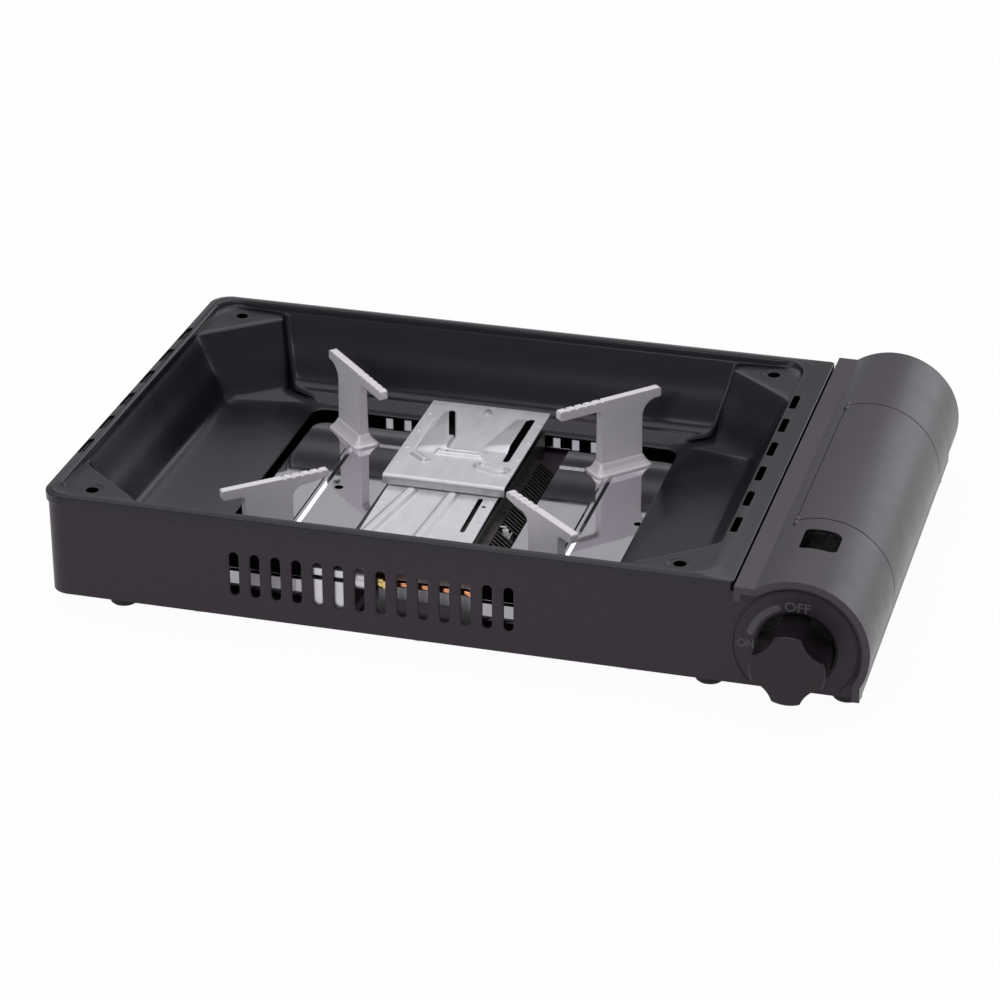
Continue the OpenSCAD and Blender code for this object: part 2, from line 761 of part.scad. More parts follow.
module canister_cover() placed() color(paint) difference() {
    union() {
        difference() {
            union() {
                stand(cover_front, cover_back) cover_sheet_outline(0, cover_t);
                for (y = [cover_front, cover_back - cover_t])
                    stand(y, y + cover_t) cover_sheet_outline(cover_t / 2, lip_w + cover_t / 2);
            }
            // The door's place
            stand(door_front, door_back)
                wedge(-door_end - edge_turn(door_gap), hinge_angle + edge_turn(strip_edge), cover_r + 6);
            // The window
            translate([cover_x - window_dx, door_front - 15 - window_l, cover_axis_z + window_side_z])
                linear_extrude(40) round_rect(0, window_w, 0, window_l, 3, 6);
            for (e = knuckle_ends) door_knuckle(e, knuckle_r + 0.5, 0.4);
        }
        // Ledges under the ends of the door
        for (e = knuckle_ends) ledge(e[0], e[1]);
        for (e = knuckle_ends) fixed_knuckle(e, knuckle_r, 0);
    }
    for (e = knuckle_ends) fixed_knuckle(e, pin_r, 1);
    // The cover's inner skirt is notched for the housing's end panels
    for (s = [-1, 1])
        box(cover_left - cut, cover_left + cover_t + cut, s * (body_back - wall_t / 2) - wall_t,
            s * (body_back - wall_t / 2) + wall_t, cover_skirt_z - cut, panel_top + panel_gap / 2);
}

// The ledge's inner part reaches ledge_w under the door, ledge_gap below it
module ledge(y, s) {
    r = cover_r - cover_t;
    low = -door_end + 2;
    translate([cover_x, y, cover_axis_z]) rotate([90, 0, 0]) rotate(low)
        rotate_extrude(angle = hinge_angle - 9 - low, $fn = 144) polygon([
            [r - cover_t - ledge_gap, -s * ledge_w], [r - ledge_gap, -s * ledge_w], [r - ledge_gap, 0],
            [r + 0.1, 0], [r + 0.1, s * ledge_w], [r - cover_t - ledge_gap, s * ledge_w]]);
}

module canister_door() placed() color(paint) difference() {
    union() {
        stand(door_front + door_gap, door_back - door_gap)
            arc_strip(cover_r, cover_r - cover_t, -door_end, hinge_angle - edge_turn(door_edge));
        rod_y(hinge_x, door_front + door_gap, door_back - door_gap, hinge_z, bead_r);
        for (e = knuckle_ends) door_knuckle(e, knuckle_r, 0);
        // The rolled lower edge that a finger lifts
        stand(door_y - 30, door_y + 30)
            arc_strip(cover_r - cover_t + 0.1, cover_r - cover_t - 3, -door_end, -door_end + 2);
    }
    for (e = knuckle_ends) door_knuckle(e, pin_r + run_gap, 1);
}

module door_hinge_pins() placed() color(steel) for (e = knuckle_ends) {
    a = e[0] - e[1] * knuckle_l;
    b = e[0] + e[1] * (door_gap + knuckle_l);
    rod_y(hinge_x, min(a, b), max(a, b), hinge_z, pin_r);
}

// The knob: a round base in the recess and a round body with four long scoops
module knob() placed() color(black) difference() {
    translate([knob_x, knob_back, knob_z]) rotate([90, 0, 0]) difference() {
        rotate_extrude() polygon(concat([[0, 0], [knob_r, 0]],
            [for (a = [0:15:90]) [knob_r - knob_round * (1 - cos(a)), knob_l - knob_round * (1 - sin(a))]],
            [[0, knob_l]]));
        for (a = [45:90:315]) rotate(a) translate([knob_r + scoop_out, 0, knob_base_t])
            cylinder(r = scoop_r, h = knob_l, $fn = 96);
    }
    rod_y(knob_x, knob_back - spindle_grip, knob_back + cut, knob_z, spindle_r);
}

module valve_spindle() placed() color(steel) {
    difference() {
        rod_y(knob_x, knob_back - spindle_grip, spindle_end, knob_z, spindle_r);
        rod_y(knob_x, clip_y, clip_y + clip_t, knob_z, spindle_r + cut);
    }
    rod_y(knob_x, clip_y - cut, clip_y + clip_t + cut, knob_z, clip_core_r);
}

spindle_grip = 16;
clip_t = 1;
clip_y = dish_back + 1;
clip_core_r = spindle_r - 0.6;

module spindle_clip() placed() color(steel) difference() {
    rod_y(knob_x, clip_y, clip_y + clip_t, knob_z, spindle_r + 2);
    rod_y(knob_x, clip_y - cut, clip_y + clip_t + cut, knob_z, clip_core_r);
}

// A spiral cam: its radius grows by the plunger's travel over a quarter turn
function cam_radius(a) = cam_small_r + plunger_travel * (a < 90 ? a / 90 : a <= 180 ? (180 - a) / 90 : 0);

module igniter_cam() placed() color(black) difference() {
    stand(cam_y, cam_y + cam_t) translate([knob_x, knob_z])
        polygon([for (a = [0:6:354]) cam_radius(a) * [cos(a), sin(a)]]);
    rod_y(knob_x, cam_y - cut, cam_y + cam_t + cut, knob_z, spindle_r);
}

module dial_dish() placed() color(black) difference() {
    union() {
        rod_y(knob_x, panel_front + 0.3, dish_back, knob_z, dish_r);
        rod_y(knob_x, panel_front + wall_t, panel_front + wall_t + 1.4, knob_z, dish_r + dish_flange);
        rod_y(knob_x, dish_back - 1, dish_back + 1 - 0.2, knob_z, spindle_r + 3);
    }
    rod_y(knob_x, panel_front - cut, panel_front + dish_d, knob_z, dish_r - wall_t);
    rod_y(knob_x, panel_front, dish_back + 3, knob_z, spindle_r + run_gap);
}

module piezo_igniter() placed() color(black) difference() {
    mid = cam_y + cam_t / 2;
    union() {
        box(piezo_x, piezo_x + piezo_l, mid - piezo_w / 2, mid + piezo_w / 2, knob_z - piezo_h / 2,
            knob_z + piezo_h / 2);
        box(piezo_x + 2, piezo_x + piezo_l - 2, mid - 4, mid + 4, floor_z, knob_z);
        box(piezo_x - piezo_base, piezo_x + piezo_l + 2, mid - 6, mid + 6, floor_z, floor_z + 2);
    }
    rod_x(plunger_tip - plunger_l - plunger_travel - 1, piezo_x + piezo_l + cut, mid, knob_z,
        plunger_r + run_gap);
}

module piezo_plunger() placed() color(steel) {
    mid = cam_y + cam_t / 2;
    rod_x(plunger_tip - plunger_l, plunger_tip - plunger_r, mid, knob_z, plunger_r);
    translate([plunger_tip - plunger_r, mid, knob_z]) sphere(plunger_r);
}

// The igniter's lead runs along the floor from the igniter to the electrode
lead_r = 1.1;
lead_y = -118;
lead_wall_z = floor_z + 2.6;
lead_low_z = floor_z + 1.4;
lead_start = [piezo_x + 2, cam_y + cam_t / 2, floor_z + 9];
lead_route = [lead_start, [piezo_x - 5, lead_start.y, lead_start.z],
    [heat_wall_x + 6, lead_y, lead_wall_z], [heat_wall_x - 6, lead_y, lead_wall_z],
    [150, -118, lead_low_z], [66, -114, lead_low_z], [53, -107, lead_low_z],
    [electrode_x, electrode_y - 25, lead_low_z],
    [electrode_x, electrode_y - electrode_wire - 0.2, lead_low_z]];

// Directions and rings of points along a route, for a bent round wire
function route_dir(r, i) = let (n = len(r) - 1)
    unit(i == 0 ? r[1] - r[0] : i == n ? r[n] - r[n - 1] : unit(r[i] - r[i - 1]) + unit(r[i + 1] - r[i]));
function route_sides(r, i, last) = i == len(r) ? [] :
    let (t = route_dir(r, i), n = unit(last - t * (last * t)))
    concat([[n, cross(t, n)]], route_sides(r, i + 1, n));

module wire(route, radius, sides) {
    frames = route_sides(route, 0, [0.1, 0.2, 1]);
    closed_skin(sides, [for (i = [0:len(route) - 1], k = [0:sides - 1])
        let (a = 360 * k / sides) route[i] + radius * (frames[i][0] * cos(a) + frames[i][1] * sin(a))]);
}

// Joins rings of points, a fixed number in each, into a solid with two flat ends
module closed_skin(sides, points) {
    rings = len(points) / sides;
    last = (rings - 1) * sides;
    faces = concat(
        [[for (k = [0:sides - 1]) k]],
        [for (i = [0:rings - 2], k = [0:sides - 1])
            let (a = i * sides + k, b = i * sides + (k + 1) % sides)
            each [[a, a + sides, b], [b, a + sides, b + sides]]],
        [[for (k = [sides - 1:-1:0]) last + k]]);
    polyhedron(points, faces, convexity = 6);
}

module igniter_lead() placed() color(black) wire(lead_route, lead_r, 8);

module igniter_electrode() placed() color("white") translate([electrode_x, electrode_y, 0]) {
    translate([0, 0, floor_z + 0.4]) cylinder(r = electrode_wire, h = electrode_high - floor_z + 2);
    translate([0, 0, electrode_low]) cylinder(r = electrode_r, h = electrode_high - electrode_low);
    translate([0, 0, electrode_high + 2]) rotate([0, -90, 0]) cylinder(r = electrode_wire, h = 3.4);
}

module electrode_clip() placed() color(steel) translate([electrode_x, electrode_y, 0]) difference() {
    union() {
        box(-4, 4, -5, 5, floor_z, floor_z + 1);
        box(electrode_r + 0.6, electrode_r + 1.6, -5, 5, floor_z, clip_low + clip_h);
        translate([0, 0, clip_low]) cylinder(r = electrode_r + 1.4, h = clip_h);
    }
    translate([0, 0, floor_z - cut]) cylinder(r = electrode_r + 0.1, h = electrode_high);
    box(-lead_r - 0.5, lead_r + 0.5, -6, 0, floor_z - cut, floor_z + 3);
}

module regulator_body() placed() color(cast) difference() {
    union() {
        rod_y(cover_x, regulator_front, bracket_y - wall_t, canister_z, regulator_r);
        rod_y(knob_x, boss_front, regulator_front + 1, knob_z, boss_r);
        rod_x(outlet_x, cover_x, outlet_y, pipe_low_z, 5);
        rod_y(cover_x, bracket_y - wall_t - 1, port_y, canister_z, collar_r);
        rod_x(cover_x - regulator_r - 3, cover_x, regulator_front + regulator_l / 2, canister_z + 6, 11);
        box(cover_x - regulator_foot_x, cover_x + regulator_foot_x, regulator_front + 2,
            bracket_y - wall_t - 2, floor_z, canister_z);
    }
    rod_y(knob_x, boss_front - cut, spindle_end + 1, knob_z, spindle_r + run_gap);
    rod_x(outlet_x - cut, outlet_x + 6, outlet_y, pipe_low_z, pipe_r);
    rod_y(cover_x, port_y - 5, port_y + cut, canister_z, port_r);
    rod_y(cover_x, port_y - 1.5, port_y + cut, canister_z, port_r + 3.2);
}

cap_x = cover_x - regulator_r - 3;
cap_t = 4;

module cap_places() {
    for (a = [45:90:315])
        translate([cap_x - cap_t, regulator_front + regulator_l / 2, canister_z + 6])
            translate([0, 8.2 * cos(a), 8.2 * sin(a)]) rotate([0, 90, 0]) children();
}

module regulator_cap() placed() color(cast) difference() {
    union() {
        rod_x(cap_x - cap_t, cap_x, regulator_front + regulator_l / 2, canister_z + 6, 11);
        rod_x(cap_x - cap_t - 3, cap_x - cap_t + 1, regulator_front + regulator_l / 2, canister_z + 6, 5);
    }
    cap_places() translate([0, 0, -cut]) cylinder(r = 1.2, h = cap_t + 2 * cut);
}

module cap_screws() placed() color(steel) cap_places() {
    translate([0, 0, -1.2]) cylinder(r = 2, h = 1.2);
    translate([0, 0, -0.1]) cylinder(r = 1.1, h = cap_t);
}

module regulator_bracket() placed() color(steel) difference() {
    union() {
        stand(bracket_y - wall_t, bracket_y) intersection() {
            union() {
                translate([cover_x, cover_axis_z]) circle(cover_r - cover_t - 3);
                translate([cover_x - bracket_foot_x, floor_z]) square([2 * bracket_foot_x, 26]);
            }
            translate([cover_x - cover_r, floor_z]) square(2 * cover_r);
        }
        box(cover_x - bracket_foot_x, cover_x + bracket_foot_x, bracket_y - bracket_foot_l,
            bracket_y, floor_z, floor_z + wall_t);
        // The tab that the canister's notch fits over
        box(cover_x - 4, cover_x + 4, bracket_y - wall_t, bracket_y + 7, canister_z + tab_up,
            canister_z + tab_up + 1.5);
    }
    rod_y(cover_x, bracket_y - bracket_foot_l - cut, bracket_y + cut, canister_z, collar_r);
    box(cover_x - regulator_foot_x - 0.2, cover_x + regulator_foot_x + 0.2, bracket_y - bracket_foot_l - cut,
        bracket_y - wall_t, 0, floor_z + 20);
}

module canister_port() placed() color(brass) difference() {
    union() {
        rod_y(cover_x, port_y - 5, port_y + port_l, canister_z, port_r);
        rod_y(cover_x, port_y - 1.5, port_y, canister_z, port_r + 3.1);
    }
    rod_y(cover_x, port_y - 5 - cut, port_y + port_l + cut, canister_z, port_bore_r);
}

module port_seal() placed() color(black) translate([cover_x, port_y, canister_z]) rotate([-90, 0, 0])
    difference() {
        cylinder(r = port_r + 2.4, h = 2);
        translate([0, 0, -cut]) cylinder(r = port_r, h = 4);
    }

module canister_magnets() placed() color(steel) for (s = [-1, 1])
    rod_y(cover_x + s * magnet_dx, bracket_y, bracket_y + 4, canister_z, 5);

module canister_cradle() placed() color(steel) {
    r = canister_r + canister_gap;
    back = door_back - 18;
    difference() {
        union() {
            stand(back - cradle_l, back) intersection() {
                translate([cover_x, canister_z]) circle(r + wall_t);
                translate([cover_x - 24, 0]) square([48, canister_z]);
            }
            for (s = [-1, 1], y = [back - cradle_l + 20, back - 30])
                box(cover_x + s * 20 - 2, cover_x + s * 20 + 2, y - 6, y + 6, floor_z, canister_z - r / 2);
        }
        rod_y(cover_x, back - cradle_l - cut, back + cut, canister_z, r);
    }
}

// A quarter of a ring of pipe about its own middle, from angle a to a + 90
module quarter_bend(a) {
    rotate(a) rotate_extrude(angle = 90) translate([pipe_bend_r, 0]) circle(pipe_r);
}

module upright_rod(x, y, z0, z1, r) {
    translate([x, y, z0]) cylinder(r = r, h = z1 - z0);
}

// The gas pipe leaves the regulator low down, runs along the front wall and rises to the jet
module gas_pipe() placed() color(copper) {
    b = pipe_bend_r;
    rod_x(pipe_turn_x + b, outlet_x, outlet_y, pipe_low_z, pipe_r);
    translate([pipe_turn_x + b, outlet_y - b, pipe_low_z]) quarter_bend(90);
    rod_y(pipe_turn_x, pipe_y + b, outlet_y - b, pipe_low_z, pipe_r);
    translate([pipe_turn_x - b, pipe_y + b, pipe_low_z]) quarter_bend(270);
    rod_x(pipe_rise_x + b, pipe_turn_x - b, pipe_y, pipe_low_z, pipe_r);
    translate([pipe_rise_x + b, pipe_y, pipe_low_z + b]) rotate([90, 0, 0]) quarter_bend(180);
    upright_rod(pipe_rise_x, pipe_y, pipe_low_z + b, jet_z - b, pipe_r);
    translate([pipe_rise_x - b, pipe_y, jet_z - b]) rotate([90, 0, 0]) quarter_bend(0);
    rod_x(jet_x, pipe_rise_x - b, pipe_y, jet_z, pipe_r);
}

// The nuts at both ends of the pipe
module pipe_nuts() placed() color(brass)
    for (n = [[outlet_x - nut_l, outlet_y, pipe_low_z], [jet_x, pipe_y, jet_z]]) translate(n)
        rotate([0, 90, 0]) difference() {
            cylinder(r = nut_r, h = nut_l, $fn = 6);
            translate([0, 0, -cut]) cylinder(r = pipe_r, h = nut_l + 2 * cut);
        }

module gas_jet() placed() color(brass) {
    rod_x(jet_x - 7, jet_x, pipe_y, jet_z, nut_r - 0.6);
    translate([jet_x - 7, pipe_y, jet_z]) rotate([0, -90, 0]) cylinder(r1 = 3, r2 = 1.2, h = 4);
}

// The mixing tube runs left from the jet into a duct, which passes under the tray's floor
module mixing_tube() placed() color(steel) {
    x0 = jet_x - 9;
    y0 = pipe_y - mix_r + 1;
    y1 = pipe_y + mix_r + 1.2;
    z0 = floor_z + wall_t;
    difference() {
        union() {
            rod_x(duct_x + duct_w - 1, x0, pipe_y, jet_z, mix_r);
            box(duct_x, duct_x + duct_w, y0, y1, z0, jet_z + 6.5);
            box(duct_x, duct_x + duct_w, y0, burner_front, z0, duct_top);
        }
        rod_x(duct_x + 2, x0 + cut, pipe_y, jet_z, mix_r - 0.8);
        box(duct_x + 1, duct_x + duct_w - 1, y0 + 1, y1 - 1, z0 + 1, jet_z + 5.5);
        box(duct_x + 1, duct_x + duct_w - 1, y0 + 1, burner_front + cut, z0 + 1, duct_top - 1);
        for (z = [-1, 1])
            box(x0 - 12, x0 - 4, pipe_y - 3, pipe_y + 3, jet_z + z * mix_r - 2, jet_z + z * mix_r + 2);
    }
}

// The plate behind the jet, on two legs
module jet_bracket() placed() color(steel) {
    y0 = pipe_y + nut_r + 0.6;
    x0 = jet_x - 6;
    x1 = pipe_rise_x - 4;
    box(x0, x1, y0, y0 + plate_t, bracket_low, jet_z + 4);
    for (x = [x0, x1 - 7]) {
        box(x, x + 7, y0, y0 + plate_t, floor_z, bracket_low + cut);
        box(x, x + 7, y0, y0 + 8, floor_z, floor_z + plate_t);
    }
}

// The burner: a low box with a bar and a comb of sloping port fins along each side
module burner_body() placed() color(steel) {
    half = burner_w / 2;
    difference() {
        box(-half, half, burner_front, burner_back, burner_low, burner_high);
        box(-half + 1, half - 1, burner_front + 1, burner_back - 1, burner_low + 1, burner_high - 1);
        box(duct_x + 3, duct_x + duct_w - 3, burner_front - cut, burner_front + 1 + cut, burner_low + 1.5,
            duct_top - 1.5);
    }
    for (s = [-1, 1]) {
        box(min(s * (half - 0.5), s * (half + comb_bar)), max(s * (half - 0.5), s * (half + comb_bar)),
            -comb_l / 2, comb_l / 2, comb_low + 1, comb_high);
        for (y = [-comb_l / 2 + 1:fin_pitch:comb_l / 2 - 2])
            if (s < 0 || abs(y + fin_t / 2 - electrode_y) > electrode_room) comb_fin(s, y);
        for (y = [burner_front + 12, burner_back - 18])
            box(s * (half - 6) - 5, s * (half - 6) + 5, y, y + 8, floor_z, burner_low + 0.5);
        // Two ribs carry the rear cover
        box(s * rib_x - 0.5, s * rib_x + 0.5, rib_y, rib_back - 0.5, burner_high - 0.5,
            rear_cover_h - plate_t);
    }
    box(-rib_x, rib_x, rib_back - 1, rib_back, burner_high - 0.5, rear_cover_h - plate_t);
    translate([0, cover_screw_y, burner_high - 0.5]) difference() {
        cylinder(r = 4.4, h = rear_cover_h - plate_t - burner_high + 0.5);
        translate([0, 0, cut]) cylinder(r = screw_r, h = rear_cover_h);
    }
}

// One fin slopes down from the bar to the edge of the mirror plate
module comb_fin(s, y) {
    bar = burner_w / 2 + comb_bar;
    out = (s > 0 ? plate_in : plate_in_left) - comb_gap;
    stand(y, y + fin_t) polygon([[s * (bar - 1), comb_low], [s * out, comb_low],
        [s * out, plate_h + 1], [s * (bar + 1), comb_high - 0.5], [s * (bar - 1), comb_high - 0.5]]);
}

// The front cover rises a little towards the rear cover
module burner_cover_front() placed() color(steel) {
    half = front_cover_w / 2;
    y0 = burner_front - 3;
    y1 = seam_y + 14;
    slope = atan2(front_cover_h - front_cover_low_h, y1 - y0);
    difference() {
        union() {
            front_cover_sheet(-half, half, y0, y1);
            pressed_rib([-20, -12], [-31, -74], slope);
            pressed_rib([8, -12], [3, -72], slope);
        }
        box(26.5, 30, -58, seam_y - 4, burner_low, rear_cover_h);
    }
}

module front_cover_sheet(x0, x1, y0, y1) {
    low = front_cover_low_h;
    high = front_cover_h;
    translate([x0, 0, 0]) rotate([90, 0, 90]) linear_extrude(x1 - x0)
        polygon([[y0, low - plate_t], [y1, high - plate_t], [y1, high], [y0, low]]);
}

// A long rib pressed up from the front cover between two places, with a bevel on both sides
module pressed_rib(a, b, slope) {
    len = norm(a - b);
    z = front_cover_low_h + (b.y - burner_front + 3) * tan(slope);
    translate([b.x, b.y, z]) rotate([slope, 0, -atan2(a.x - b.x, a.y - b.y)]) rotate([90, 0, 180])
        linear_extrude(len) polygon([[-5, -0.3], [5, -0.3], [3, 1.6], [-3, 1.6]]);
}

module burner_cover_rear() placed() color(steel) {
    half = rear_cover_w / 2;
    z = rear_cover_h - plate_t;
    low = front_cover_h + 0.2;
    // The front edge turns down to the front cover in a round bend
    bend = [for (a = [0:18:90])
        [seam_y + edge_bend * (1 - sin(a)), rear_cover_h - edge_bend * (1 - cos(a))]];
    inner = [for (a = [90:-18:0]) let (r = edge_bend - plate_t)
        [seam_y + edge_bend - r * sin(a), rear_cover_h - edge_bend + r * cos(a)]];
    difference() {
        translate([-half, 0, 0]) rotate([90, 0, 90]) linear_extrude(2 * half) polygon(concat(
            [[rear_cover_back, rear_cover_h]], bend, [[seam_y, low], [seam_y + plate_t, low]], inner,
            [[rear_cover_back, z]]));
        slot_between([-26, 105], [-13, 60], 4.5);
        slot_between([33.5, 105], [33, 34], 4.5);
        translate([0, cover_screw_y, z - cut]) cylinder(r = screw_r, h = 4);
        translate([-10, 38, z - cut]) cylinder(r = 1.5, h = 4);
    }
}

// Cuts a straight slot through the rear cover
module slot_between(a, b, w) {
    d = b - a;
    translate([a.x, a.y, rear_cover_h - plate_t - cut]) rotate(atan2(d.y, d.x)) translate([0, -w / 2, 0])
        cube([norm(d), w, plate_t + 2 * cut]);
}

module burner_screw() placed() color(steel) translate([0, cover_screw_y, rear_cover_h]) {
    cylinder(r = 2.8, h = 1.4);
    translate([0, 0, -cover_screw_l]) cylinder(r = screw_r, h = cover_screw_l + 0.1);
}

// A mirror plate with a raised ridge, cross bends and turned down edges, and a tail behind the burner
module reflector(s, inner, holes) placed() color(steel) {
    x0 = s > 0 ? inner : -plate_out;
    x1 = s > 0 ? plate_out : -inner;
    difference() {
        union() {
            box(x0, x1, -plate_back, plate_back, plate_h, plate_top);
            box(min(s * plate_tail_x, s * inner + s), max(s * plate_tail_x, s * inner + s),
                plate_tail_y, plate_back, plate_h, plate_top);
            difference() {
                plate_bends(s, inner);
                for (t = trivet_list) trivet_place(t.x, t.y)
                    box(-post_w / 2 - trivet_flare - 0.3, post_w / 2 + trivet_flare + 0.3,
                        -trivet_t / 2 - trivet_flare - 0.3, trivet_t / 2 + trivet_flare + 0.3, -cut, 3);
            }
            for (x = [x0, x1 - plate_t])
                box(x, x + plate_t, -plate_back, plate_tail_y - 1, floor_z, plate_h + 0.1);
        }
        for (p = holes) translate([p.x, p.y, plate_h - cut]) cylinder(r = 3.15, h = 4);
        for (x = [x0, x1]) box(x - 2, x + 2, -124, -102, floor_z - cut, plate_h);
        for (p = trivet_screw_list()) translate([p.x, p.y, plate_h - cut])
            cylinder(r = screw_r + 0.3, h = 6);
    }
    // Spacers under the trivets
    for (p = trivet_screw_list()) if (p.x * s > 0) translate([p.x, p.y, floor_z]) difference() {
        cylinder(r = 5, h = plate_h - floor_z + 0.1);
        translate([0, 0, -cut]) cylinder(r = screw_r + 0.3, h = 9);
    }
}

// The lengthwise ridge and the cross bends of a mirror plate
module plate_bends(s, inner) {
    stand(-bend_y, bend_y) polygon([[s * ridge_a, plate_top - 0.1], [s * ridge_b, plate_top - 0.1],
        [s * (ridge_b - ridge_slope), plate_top + ridge_h],
        [s * (ridge_a + ridge_slope), plate_top + ridge_h]]);
    for (y = [-bend_y - bend_w, bend_y])
        box(min(s * inner, s * bend_out), max(s * inner, s * bend_out), y, y + bend_w, plate_top - 0.1,
            plate_top + bend_h);
}

module reflector_left() reflector(-1, plate_in_left, [[-82.8, 18.2]]);
module reflector_right() reflector(1, plate_in, [[131.5, 18]]);

// A trivet runs from its inner end out towards a corner of the tray
function trivet_ends(sx, sy) = let (oy = sy > 0 ? trivet_out_back : trivet_out_front)
    [[sx * trivet_in, sy * trivet_in], [sx * trivet_out_x, sy * oy]];
arm_out = 15.5;
function post_mid(e) = e[1] + unit(e[0] - e[1]) * (arm_out + post_w / 2);
trivet_list = [[-1, 1], [1, 1], [-1, -1], [1, -1]];
function trivet_screw_list() = [for (t = trivet_list) let (e = trivet_ends(t.x, t.y), u = unit(e[1] - e[0]))
    for (k = [-1, 1]) post_mid(e) + u * k * 11];

// Puts what is drawn about a post's foot, along x, in its place on the mirror plate
module trivet_place(sx, sy) {
    e = trivet_ends(sx, sy);
    m = post_mid(e);
    u = e[1] - e[0];
    translate([m.x, m.y, plate_top]) rotate(atan2(u.y, u.x)) children();
}

// The blade, drawn with its outer end on the right; the tip rises from the arm's depth at the post
module trivet_blade(len, inner_r, outer_r, rise) {
    in_arm = len - arm_out - post_w;
    top = trivet_h - plate_top;
    low = top - arm_h;
    difference() {
        union() {
            translate([0, low]) round_rect(0, len, 0, arm_h, arm_round, arm_round);
            translate([in_arm, 0]) square([post_w, top - arm_round]);
            translate([in_arm - inner_r, low - inner_r]) square([inner_r + 1, inner_r + 1]);
            translate([in_arm + post_w - 1, low - outer_r]) square([outer_r + 1, outer_r + 1]);
        }
        translate([in_arm - inner_r, low - inner_r]) circle(inner_r);
        translate([in_arm + post_w + outer_r, low - outer_r]) circle(outer_r);
        for (i = [1:notches]) translate([i * 0.5 * len / (notches + 1), top + 0.5]) circle(1.3);
        if (rise > 0) polygon([[-cut, low - cut], [-cut, low + rise], [in_arm - inner_r, low - 0.3],
            [in_arm - inner_r, low - cut]]);
    }
}

// The draft of a cast blade: it thins towards its top on both sides
module blade_draft(len) {
    for (s = [-1, 1]) translate([-1, s * trivet_t / 2, 0]) rotate([s * trivet_draft, 0, 0])
        translate([0, s > 0 ? 0 : -10, -cut]) cube([len + 2, 10, trivet_h]);
}

// A ring of points about the post, grown by g, at height z
function foot_ring(g, z) = let (hx = post_w / 2 + g, hy = trivet_t / 2 + g, r = 0.5 + 0.6 * g)
    [for (c = [[1, 1, 0], [-1, 1, 90], [-1, -1, 180], [1, -1, 270]], k = [0:2])
        [c.x * (hx - r) + r * cos(c.z + 45 * k), c.y * (hy - r) + r * sin(c.z + 45 * k), z]];

// The foot flares out in a hollow curve
module trivet_foot() closed_skin(12, concat(foot_ring(trivet_flare, 0), foot_ring(trivet_flare, 1.2),
    foot_ring(0.76 * trivet_flare, 2.2), foot_ring(0.43 * trivet_flare, 4.6),
    foot_ring(0.2 * trivet_flare, 7.2), foot_ring(0.07 * trivet_flare, 8.4)));

module trivet(sx, sy) placed() color(cast) {
    e = trivet_ends(sx, sy);
    len = norm(e[1] - e[0]);
    post_x = len - arm_out - post_w / 2;
    difference() {
        trivet_place(sx, sy) union() {
            difference() {
                translate([-post_x, trivet_t / 2, 0]) rotate([90, 0, 0]) linear_extrude(trivet_t)
                    trivet_blade(len, sy > 0 ? 3 : 9, sy > 0 ? 12 : 3, sy > 0 ? 0 : tip_rise);
                translate([-post_x, 0, 0]) blade_draft(len);
            }
            trivet_foot();
        }
        trivet_place(sx, sy) for (k = [-1, 1]) translate([k * 11, 0, -cut]) cylinder(r = screw_r, h = 12);
    }
}

module trivet_back_left() trivet(-1, 1);
module trivet_back_right() trivet(1, 1);
module trivet_front_left() trivet(-1, -1);
module trivet_front_right() trivet(1, -1);

module trivet_screws() placed() color(steel)
    for (p = trivet_screw_list()) translate([p.x, p.y]) screw_up(foot_h, plate_top + 9);

housing();
bottom_plate();
heat_wall();
rubber_feet();
base_screws();
tray();
canister_cover();
canister_door();
door_hinge_pins();
knob();
valve_spindle();
igniter_cam();
spindle_clip();
dial_dish();
piezo_igniter();
piezo_plunger();
igniter_lead();
igniter_electrode();
electrode_clip();
regulator_body();
regulator_cap();
cap_screws();
regulator_bracket();
canister_port();
port_seal();
canister_magnets();
canister_cradle();
gas_pipe();
pipe_nuts();
gas_jet();
mixing_tube();
jet_bracket();
burner_body();
burner_cover_front();
burner_cover_rear();
burner_screw();
reflector_left();
reflector_right();
trivet_back_left();
trivet_back_right();
trivet_front_left();
trivet_front_right();
trivet_screws();
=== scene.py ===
"""Looks of the tabletop gas hot plate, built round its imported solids.

Lengths in this file are in millimetres about the middle of the tray, as they are measured on
the object; place() turns them into the frame's metres.
"""
import json
import math

import bmesh
import bpy
import numpy as np
from mathutils import Matrix, Vector


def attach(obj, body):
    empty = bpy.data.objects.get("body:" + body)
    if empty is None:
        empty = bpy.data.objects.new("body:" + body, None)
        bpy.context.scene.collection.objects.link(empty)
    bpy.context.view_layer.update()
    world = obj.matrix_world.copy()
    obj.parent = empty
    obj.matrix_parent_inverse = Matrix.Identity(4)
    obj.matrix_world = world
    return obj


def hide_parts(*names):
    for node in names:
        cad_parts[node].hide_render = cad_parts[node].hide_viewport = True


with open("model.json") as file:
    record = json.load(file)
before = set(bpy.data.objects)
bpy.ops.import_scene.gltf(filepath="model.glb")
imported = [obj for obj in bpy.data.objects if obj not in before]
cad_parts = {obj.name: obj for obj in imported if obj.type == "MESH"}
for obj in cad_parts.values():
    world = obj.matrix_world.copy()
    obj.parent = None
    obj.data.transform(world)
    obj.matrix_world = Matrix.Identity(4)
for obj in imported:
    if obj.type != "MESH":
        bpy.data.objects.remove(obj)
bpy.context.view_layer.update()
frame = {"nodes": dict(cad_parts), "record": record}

# The frame's origin, measured from the middle of the tray
MID_X, MID_Y = 49.4818, -9.45
BODY = "stove"


def place(p):
    return ((p[0] - MID_X) / 1000, (p[1] - MID_Y) / 1000, p[2] / 1000)


# Meshes

